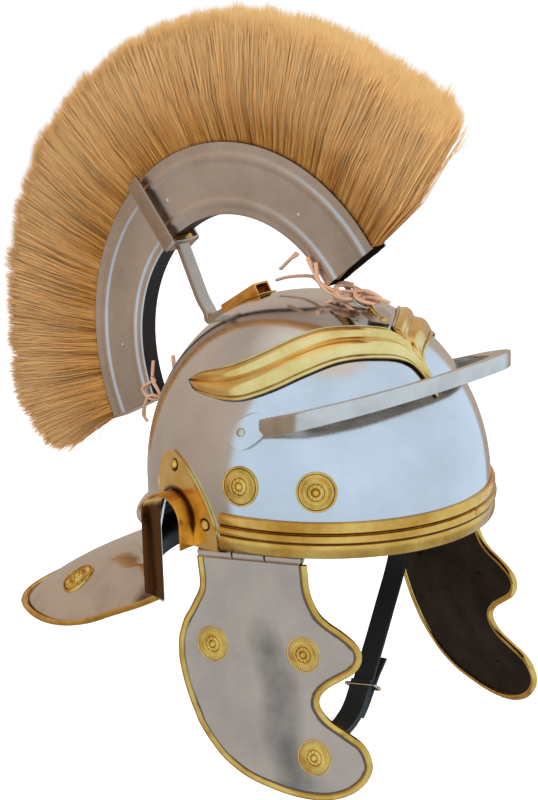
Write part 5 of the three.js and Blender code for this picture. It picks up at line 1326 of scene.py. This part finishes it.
def build_hinges():
    """Three rolled knuckles on a wire: two on the bowl's leaf, the middle one on the guard's tab"""
    line = HINGE_FRONT - HINGE_REAR
    length = np.linalg.norm(line)
    way = line / length
    cuts = [0.0, 0.345, 0.66, 1.0]
    knuckles = []
    for i in range(3):
        a, b = HINGE_REAR + line * cuts[i] + way * 0.35, HINGE_REAR + line * cuts[i + 1] - way * 0.35
        path = np.array([a, a + way * 0.4, (a + b) / 2, b - way * 0.4, b])
        knuckles.append(sweep("knuckle_%d" % i, path, ring_section(3.3, 24), side=(0, 0, 1),
                              scale=[0.84, 1, 1, 1, 0.84]))
    seam = []
    for share in np.linspace(0.02, 0.98, 40):
        p = HINGE_REAR + line * share
        width, reach = HALF_WIDTH - WALL - GAP, HALF_LENGTH - WALL - GAP
        wall = -width * np.sqrt(1 - (p[1] / reach) ** 2) + GAP
        sheet = [(wall + 0.6, p[1], z) for z in (-0.6, 4, 10.5)]
        seam.append([(p[0], p[1], p[2] + 2.2), ((p[0] + wall) / 2 + 0.3, p[1], p[2] + 4.4), *sheet])
    leaf = towards(loft("hinge_sheet", np.array(seam)), [1, 0, 0])
    modify(leaf, "SOLIDIFY", thickness=1.2 * MM, offset=0)
    tab_rows = []
    for share in np.linspace(cuts[1] + 0.01, cuts[2] - 0.01, 20):
        p = HINGE_REAR + line * share
        top = p + [0, 0, -2.2]
        flat = np.array([p[1], GUARD_TOP + 3.5])
        tab_rows.append([top, guard_skin(flat, -1.4) * 0.5 + top * 0.5, guard_skin(flat, -1.4)])
    tab = towards(loft("hinge_tab", np.array(tab_rows)), [-1, 0, 0])
    modify(tab, "SOLIDIFY", thickness=1.2 * MM, offset=0)
    for obj in knuckles + [leaf, tab]:
        obj.data.materials.append(bpy.data.materials["brushed_steel"])
    fixed = joined("hinge_leaf_folded_right", [leaf, knuckles[0], knuckles[2]])
    moving = joined("hinge_knuckle_right", [tab, knuckles[1]])
    run = np.array([HINGE_REAR - way * 0.8, HINGE_REAR + line / 2, HINGE_FRONT + way * 0.9])
    pin = sweep("hinge_wire_right", run, ring_section(1.2, 12), side=(0, 0, 1))
    for side in SIDES:
        f = fixed if side == "right" else mirrored(fixed, "hinge_leaf_folded_left")
        m = moving if side == "right" else mirrored(moving, "hinge_knuckle_left")
        w = pin if side == "right" else mirrored(pin, "hinge_wire_left")
        dress(f, "helmet", ["hinge_leaf_" + side], "steel")
        dress(m, "guard_" + side, ["cheek_guard_" + side], "steel")
        dress(w, "helmet", ["hinge_pin_" + side], "steel", "drawn_wire")


# Chin strap

STRAP = np.array([
    # side as a share of the bowl's half width, back, down
    [0.951, 2, -9], [0.942, 2, -3], [0.887, 2, 8], [0.88, 3, 30], [0.83, 4, 62], [0.64, 1, 92],
    [0.42, -3, 122], [0.17, -9, 147],
    [-0.12, -10, 152], [-0.42, -3, 130], [-0.64, 1, 95], [-0.83, 4, 62], [-0.88, 3, 30], [-0.887, 2, 8],
    [-0.942, 2, -3], [-0.951, 2, -9],
])


def build_strap(share):
    """The chin strap with its lap and free end, and the wire buckle a share of the way along it"""
    path = curve(STRAP * [HALF_WIDTH, 1, -1], 260)
    way = unit(np.gradient(path, axis=0))
    broad = unit(np.array([0, 1.0, 0]) - way * way[:, 1:2])
    thin = np.cross(way, broad)
    section = section_round([(-7.6, -1.05), (7.6, -1.05), (7.6, 1.05), (-7.6, 1.05)], 0.6, 4)
    body = lambda name, a, b, lift, curl=0.0: loft(name, np.array([
        path[i] + thin[i] * (lift + curl * ((b - i) / (b - a)) ** 2)
        + broad[i] * section[:, :1] + thin[i] * section[:, 1:]
        for i in range(a, b)]), around=True, caps=True)
    at = int(share * 259)
    main = body("strap_main", 0, 260, 0)
    lift = 2.35 if thin[at][2] < 0 else -2.35
    lap = body("strap_lap", at - 2, at + 46, -lift)
    tip = body("strap_tip", at - 14, at + 14, lift, 5.0 * np.sign(lift))
    strap = joined("chin_strap_leather", [main, lap, tip])
    dress(strap, "helmet", ["chin_strap"], "black_leather", "black_leather")
    w, t = 10.4, 2.65
    ring = [(-w, -t), (0, -t - 0.2), (w, -t), (w + 0.5, 0), (w, t + 2.4), (0, t + 2.6), (-w, t + 2.4),
            (-w - 0.5, 0)]
    sign = np.sign(lift)
    loop = np.array([path[at] + broad[at] * a + thin[at] * b * sign for a, b in ring])
    buckle = tube("chin_buckle_wire", loop, 0.95, 96, 10, closed=True)
    line = [path[at] + broad[at] * 0.3 + thin[at] * (t + 2.6) * sign,
            path[at + 4] + thin[at] * (t + 2.9) * sign,
            path[at - 8] + thin[at - 8] * (t + 1.4) * sign]
    tongue = tube("buckle_tongue", line, 0.7, 30, 8)
    dress(joined("chin_buckle_wire", [buckle, tongue]), "helmet", ["chin_buckle"], "steel", "drawn_wire")


# Studio

def build_stage(s):
    """Pale floor, the photo's camera, a sky with a blue front and a warm back, and two softboxes"""
    deselect()
    bpy.ops.mesh.primitive_plane_add(size=240, location=(0, 0, s.floor_height))
    floor = bpy.context.object
    floor.name = "studio_floor"
    floor.visible_glossy = False
    tree, shader = blank("pale_floor")
    where = add(tree, "ShaderNodeTexCoord")
    cloud = add(tree, "ShaderNodeTexNoise", {"Scale": 1.5}, {"Vector": (where, "Object")})
    tone = add(tree, "ShaderNodeValToRGB", links={"Fac": (cloud, "Fac")},
               stops=[(0.0, linear("#f4f4f4")), (1.0, linear("#fbfbfb"))])
    tree.links.new(tone.outputs["Color"], shader.inputs["Base Color"])
    shader.inputs["Roughness"].default_value = 1.0
    shader.inputs["Specular IOR Level"].default_value = 0.0
    shader.inputs["Emission Color"].default_value = (1, 1, 1, 1)
    shader.inputs["Emission Strength"].default_value = s.floor_glow
    floor.data.materials.append(bpy.data.materials["pale_floor"])

    data = bpy.data.cameras.new("photo_camera")
    data.sensor_width = 36
    data.sensor_height = 36
    data.sensor_fit = "AUTO"
    data.lens = 85.12
    data.clip_end = 400
    camera = bpy.data.objects.new("photo_camera", data)
    bpy.context.collection.objects.link(camera)
    right, up, forward = (np.array(v) for v in ((0.6773, -0.7351, -0.0299), (0.2117, 0.1558, 0.9648),
                                                (0.7046, 0.6598, -0.2612)))
    pose = np.eye(4)
    pose[:3] = np.stack([right, up, -forward, np.array([-822.8, -732.2, 361.8]) * MM], axis=1)
    camera.matrix_world = Matrix(pose.tolist())
    bpy.context.scene.camera = camera

    world = bpy.data.worlds.new("studio_sky")
    bpy.context.scene.world = world
    world.use_nodes = True
    tree = world.node_tree
    tree.nodes.clear()
    where = add(tree, "ShaderNodeTexCoord")
    sides = []
    for degrees in (-26.0, 8.0):
        way = (sin(radians(degrees)), -cos(radians(degrees)), 0.0)
        sides.append(add(tree, "ShaderNodeVectorMath", {1: way}, {0: (where, "Generated")},
                         operation="DOT_PRODUCT"))
    front = add(tree, "ShaderNodeMath", links={0: (sides[0], "Value"), 1: (sides[1], "Value")},
                operation="MAXIMUM")
    amount = add(tree, "ShaderNodeMapRange", {"From Min": -0.02, "From Max": 0.04}, {"Value": (front, 0)},
                 interpolation_type="SMOOTHSTEP")
    rise = add(tree, "ShaderNodeSeparateXYZ", links={0: (where, "Generated")})
    low = add(tree, "ShaderNodeMapRange", {"From Min": 0.88, "From Max": 0.95, "To Min": 1.0, "To Max": 0.0},
              {"Value": (rise, "Z")},
              interpolation_type="SMOOTHSTEP")
    amount = add(tree, "ShaderNodeMath", links={0: (amount, 0), 1: (low, 0)}, operation="MULTIPLY")
    height = add(tree, "ShaderNodeMapRange", {"From Min": -1.0}, {"Value": (rise, "Z")})
    rear = add(tree, "ShaderNodeValToRGB", links={"Fac": (height, 0)},
               stops=[(0.0, (0.42, 0.36, 0.30)), (0.35, (0.43, 0.36, 0.30)), (0.5, (0.54, 0.45, 0.37)),
                      (0.68, (0.62, 0.51, 0.42)),
                      (0.87, (0.50, 0.42, 0.37)), (0.97, (0.84, 0.77, 0.70))])
    sky = add(tree, "ShaderNodeMix", {7: (0.74, 0.93, 1.15, 1)}, {0: (amount, 0), 6: (rear, "Color")},
              data_type="RGBA")
    glow = add(tree, "ShaderNodeBackground", {"Strength": s.sky_strength}, {"Color": (sky, 2)})
    add(tree, "ShaderNodeOutputWorld", links={"Surface": (glow, "Background")})

    softboxes = [("key_softbox", (-0.9, -1.5, 1.9), 0.9, s.key_power, (1, 0.97, 0.93)),
                 ("rear_softbox", (0.9, 1.6, 1.6), 1.2, s.key_power * 0.6, (1, 0.95, 0.9))]
    for name, at, size, power, colour in softboxes:
        data = bpy.data.lights.new(name, "AREA")
        data.size = size
        data.energy = power
        data.color = colour
        light = bpy.data.objects.new(name, data)
        bpy.context.collection.objects.link(light)
        light.location = at
        light.visible_glossy = False
        light.rotation_euler = (Vector((0, 0.04, 0.06)) - Vector(at)).to_track_quat("-Z", "Y").to_euler()
    view = bpy.context.scene.view_settings
    view.view_transform = "Standard"
    view.look = "None"
    view.exposure = s.exposure


# What a user may change

class HELMET_colours(bpy.types.PropertyGroup):
    """Base tones of the finishes, as sRGB hex"""
    steel: bpy.props.StringProperty(name="Steel", description="Tone of the polished steel", default="#dddad8")
    brass: bpy.props.StringProperty(name="Brass", description="Tone of the polished brass", default="#e6bb62")
    hair: bpy.props.StringProperty(name="Hair", description="Tone of most hairs", default="#eba850")
    hair_dark: bpy.props.StringProperty(name="Dark hair", description="Tone of the darker hairs",
                                        default="#c07c2c")


class HELMET_sizes(bpy.types.PropertyGroup):
    """Sizes of the looks that the frame does not fix"""
    hairs_per_sector: bpy.props.IntProperty(name="Hairs per sector",
                                            description="Hairs in each sixth of the crest", default=11500,
                                            min=100)
    hair_thickness: bpy.props.FloatProperty(name="Hair thickness",
                                            description="Thickness of one bundle of hair in millimetres",
                                            default=0.5, min=0.05)
    buckle_share: bpy.props.FloatProperty(name="Buckle place",
                                          description="Place of the buckle along the chin strap",
                                          default=0.4, min=0.1, max=0.9, subtype="FACTOR")
    floor_height: bpy.props.FloatProperty(name="Floor height",
                                          description="Height of the floor under the helmet", default=-0.36,
                                          unit="LENGTH")
    floor_glow: bpy.props.FloatProperty(name="Floor glow", description="Own light of the pale floor",
                                        default=0.35, min=0)
    sky_strength: bpy.props.FloatProperty(name="Sky strength",
                                          description="Strength of the studio's surround", default=1.0, min=0)
    key_power: bpy.props.FloatProperty(name="Key power", description="Power of the key softbox",
                                       default=38.0, min=0, unit="POWER")
    exposure: bpy.props.FloatProperty(name="Exposure", description="Exposure of the picture in stops",
                                      default=0.0)


def sizes():
    """The sizes set on the scene"""
    return bpy.context.scene.helmet_sizes


class HELMET_OT_finishes(bpy.types.Operator):
    """Makes every finish"""
    bl_idname = "helmet.finishes"
    bl_label = "Finishes"

    def execute(self, context):
        make_finishes(context.scene.helmet_colours)
        return {"FINISHED"}


class HELMET_OT_bowl(bpy.types.Operator):
    """Builds the bowl with its neck guard and rolled rim"""
    bl_idname = "helmet.bowl"
    bl_label = "Bowl and neck guard"

    def execute(self, context):
        build_bowl()
        return {"FINISHED"}


class HELMET_OT_band(bpy.types.Operator):
    """Builds the brow band and its rivet"""
    bl_idname = "helmet.band"
    bl_label = "Brow band"

    def execute(self, context):
        build_band()
        return {"FINISHED"}


class HELMET_OT_ear_guards(bpy.types.Operator):
    """Builds both ear guards and their rivets"""
    bl_idname = "helmet.ear_guards"
    bl_label = "Ear guards"

    def execute(self, context):
        build_ear_guards()
        return {"FINISHED"}


class HELMET_OT_ornament(bpy.types.Operator):
    """Builds the embossed brow ornament"""
    bl_idname = "helmet.ornament"
    bl_label = "Brow ornament"

    def execute(self, context):
        build_ornament()
        return {"FINISHED"}


class HELMET_OT_peak(bpy.types.Operator):
    """Builds the peak and its rivets"""
    bl_idname = "helmet.peak"
    bl_label = "Peak"

    def execute(self, context):
        build_peak()
        return {"FINISHED"}


class HELMET_OT_rosettes(bpy.types.Operator):
    """Strikes the rosettes and lays them on"""
    bl_idname = "helmet.rosettes"
    bl_label = "Rosettes"

    def execute(self, context):
        build_rosettes()
        return {"FINISHED"}


class HELMET_OT_crest_box(bpy.types.Operator):
    """Builds the crest box"""
    bl_idname = "helmet.crest_box"
    bl_label = "Crest box"

    def execute(self, context):
        build_crest_box()
        return {"FINISHED"}


class HELMET_OT_fork(bpy.types.Operator):
    """Builds the crest fork and its bracket"""
    bl_idname = "helmet.fork"
    bl_label = "Crest fork and bracket"

    def execute(self, context):
        build_fork()
        return {"FINISHED"}


class HELMET_OT_hair(bpy.types.Operator):
    """Lays the hair of the crest"""
    bl_idname = "helmet.hair"
    bl_label = "Crest hair"

    def execute(self, context):
        build_hair(sizes().hairs_per_sector, sizes().hair_thickness)
        return {"FINISHED"}


class HELMET_OT_hooks(bpy.types.Operator):
    """Builds the hooks, rings and leather ties"""
    bl_idname = "helmet.hooks"
    bl_label = "Hooks, rings and ties"

    def execute(self, context):
        build_hooks()
        return {"FINISHED"}


class HELMET_OT_cheek_guards(bpy.types.Operator):
    """Builds both cheek guards and their hinges"""
    bl_idname = "helmet.cheek_guards"
    bl_label = "Cheek guards"

    def execute(self, context):
        build_cheek_guards()
        return {"FINISHED"}


class HELMET_OT_strap(bpy.types.Operator):
    """Builds the chin strap and its buckle"""
    bl_idname = "helmet.strap"
    bl_label = "Chin strap"

    def execute(self, context):
        build_strap(sizes().buckle_share)
        return {"FINISHED"}


class HELMET_OT_stage(bpy.types.Operator):
    """Sets the floor, the lights and the camera"""
    bl_idname = "helmet.stage"
    bl_label = "Studio"

    def execute(self, context):
        build_stage(sizes())
        return {"FINISHED"}


OPERATORS = (HELMET_OT_stage, HELMET_OT_finishes, HELMET_OT_bowl, HELMET_OT_band, HELMET_OT_ear_guards,
             HELMET_OT_ornament, HELMET_OT_peak, HELMET_OT_rosettes, HELMET_OT_crest_box, HELMET_OT_fork,
             HELMET_OT_hair, HELMET_OT_hooks, HELMET_OT_cheek_guards, HELMET_OT_strap)


class HELMET_PT_panel(bpy.types.Panel):
    """Lists the helmet's pieces and sizes"""
    bl_idname = "HELMET_PT_panel"
    bl_label = "Legionary helmet"
    bl_space_type = "VIEW_3D"
    bl_region_type = "UI"
    bl_category = "Helmet"

    def draw(self, context):
        for group in (context.scene.helmet_colours, context.scene.helmet_sizes):
            for key in group.bl_rna.properties.keys():
                if key not in ("rna_type", "name"):
                    self.layout.prop(group, key)
        for operator in OPERATORS:
            self.layout.operator(operator.bl_idname)


CLASSES = (HELMET_colours, HELMET_sizes, *OPERATORS, HELMET_PT_panel)


def register():
    """Adds the classes and their settings"""
    for item in CLASSES:
        bpy.utils.register_class(item)
    bpy.types.Scene.helmet_colours = bpy.props.PointerProperty(type=HELMET_colours)
    bpy.types.Scene.helmet_sizes = bpy.props.PointerProperty(type=HELMET_sizes)


def unregister():
    """Takes them away again"""
    del bpy.types.Scene.helmet_sizes
    del bpy.types.Scene.helmet_colours
    for item in reversed(CLASSES):
        bpy.utils.unregister_class(item)


def main():
    """Builds the whole helmet"""
    register()
    for operator in OPERATORS:
        group, name = operator.bl_idname.split(".")
        getattr(getattr(bpy.ops, group), name)()
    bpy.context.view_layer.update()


if __name__ == "__main__":
    main()
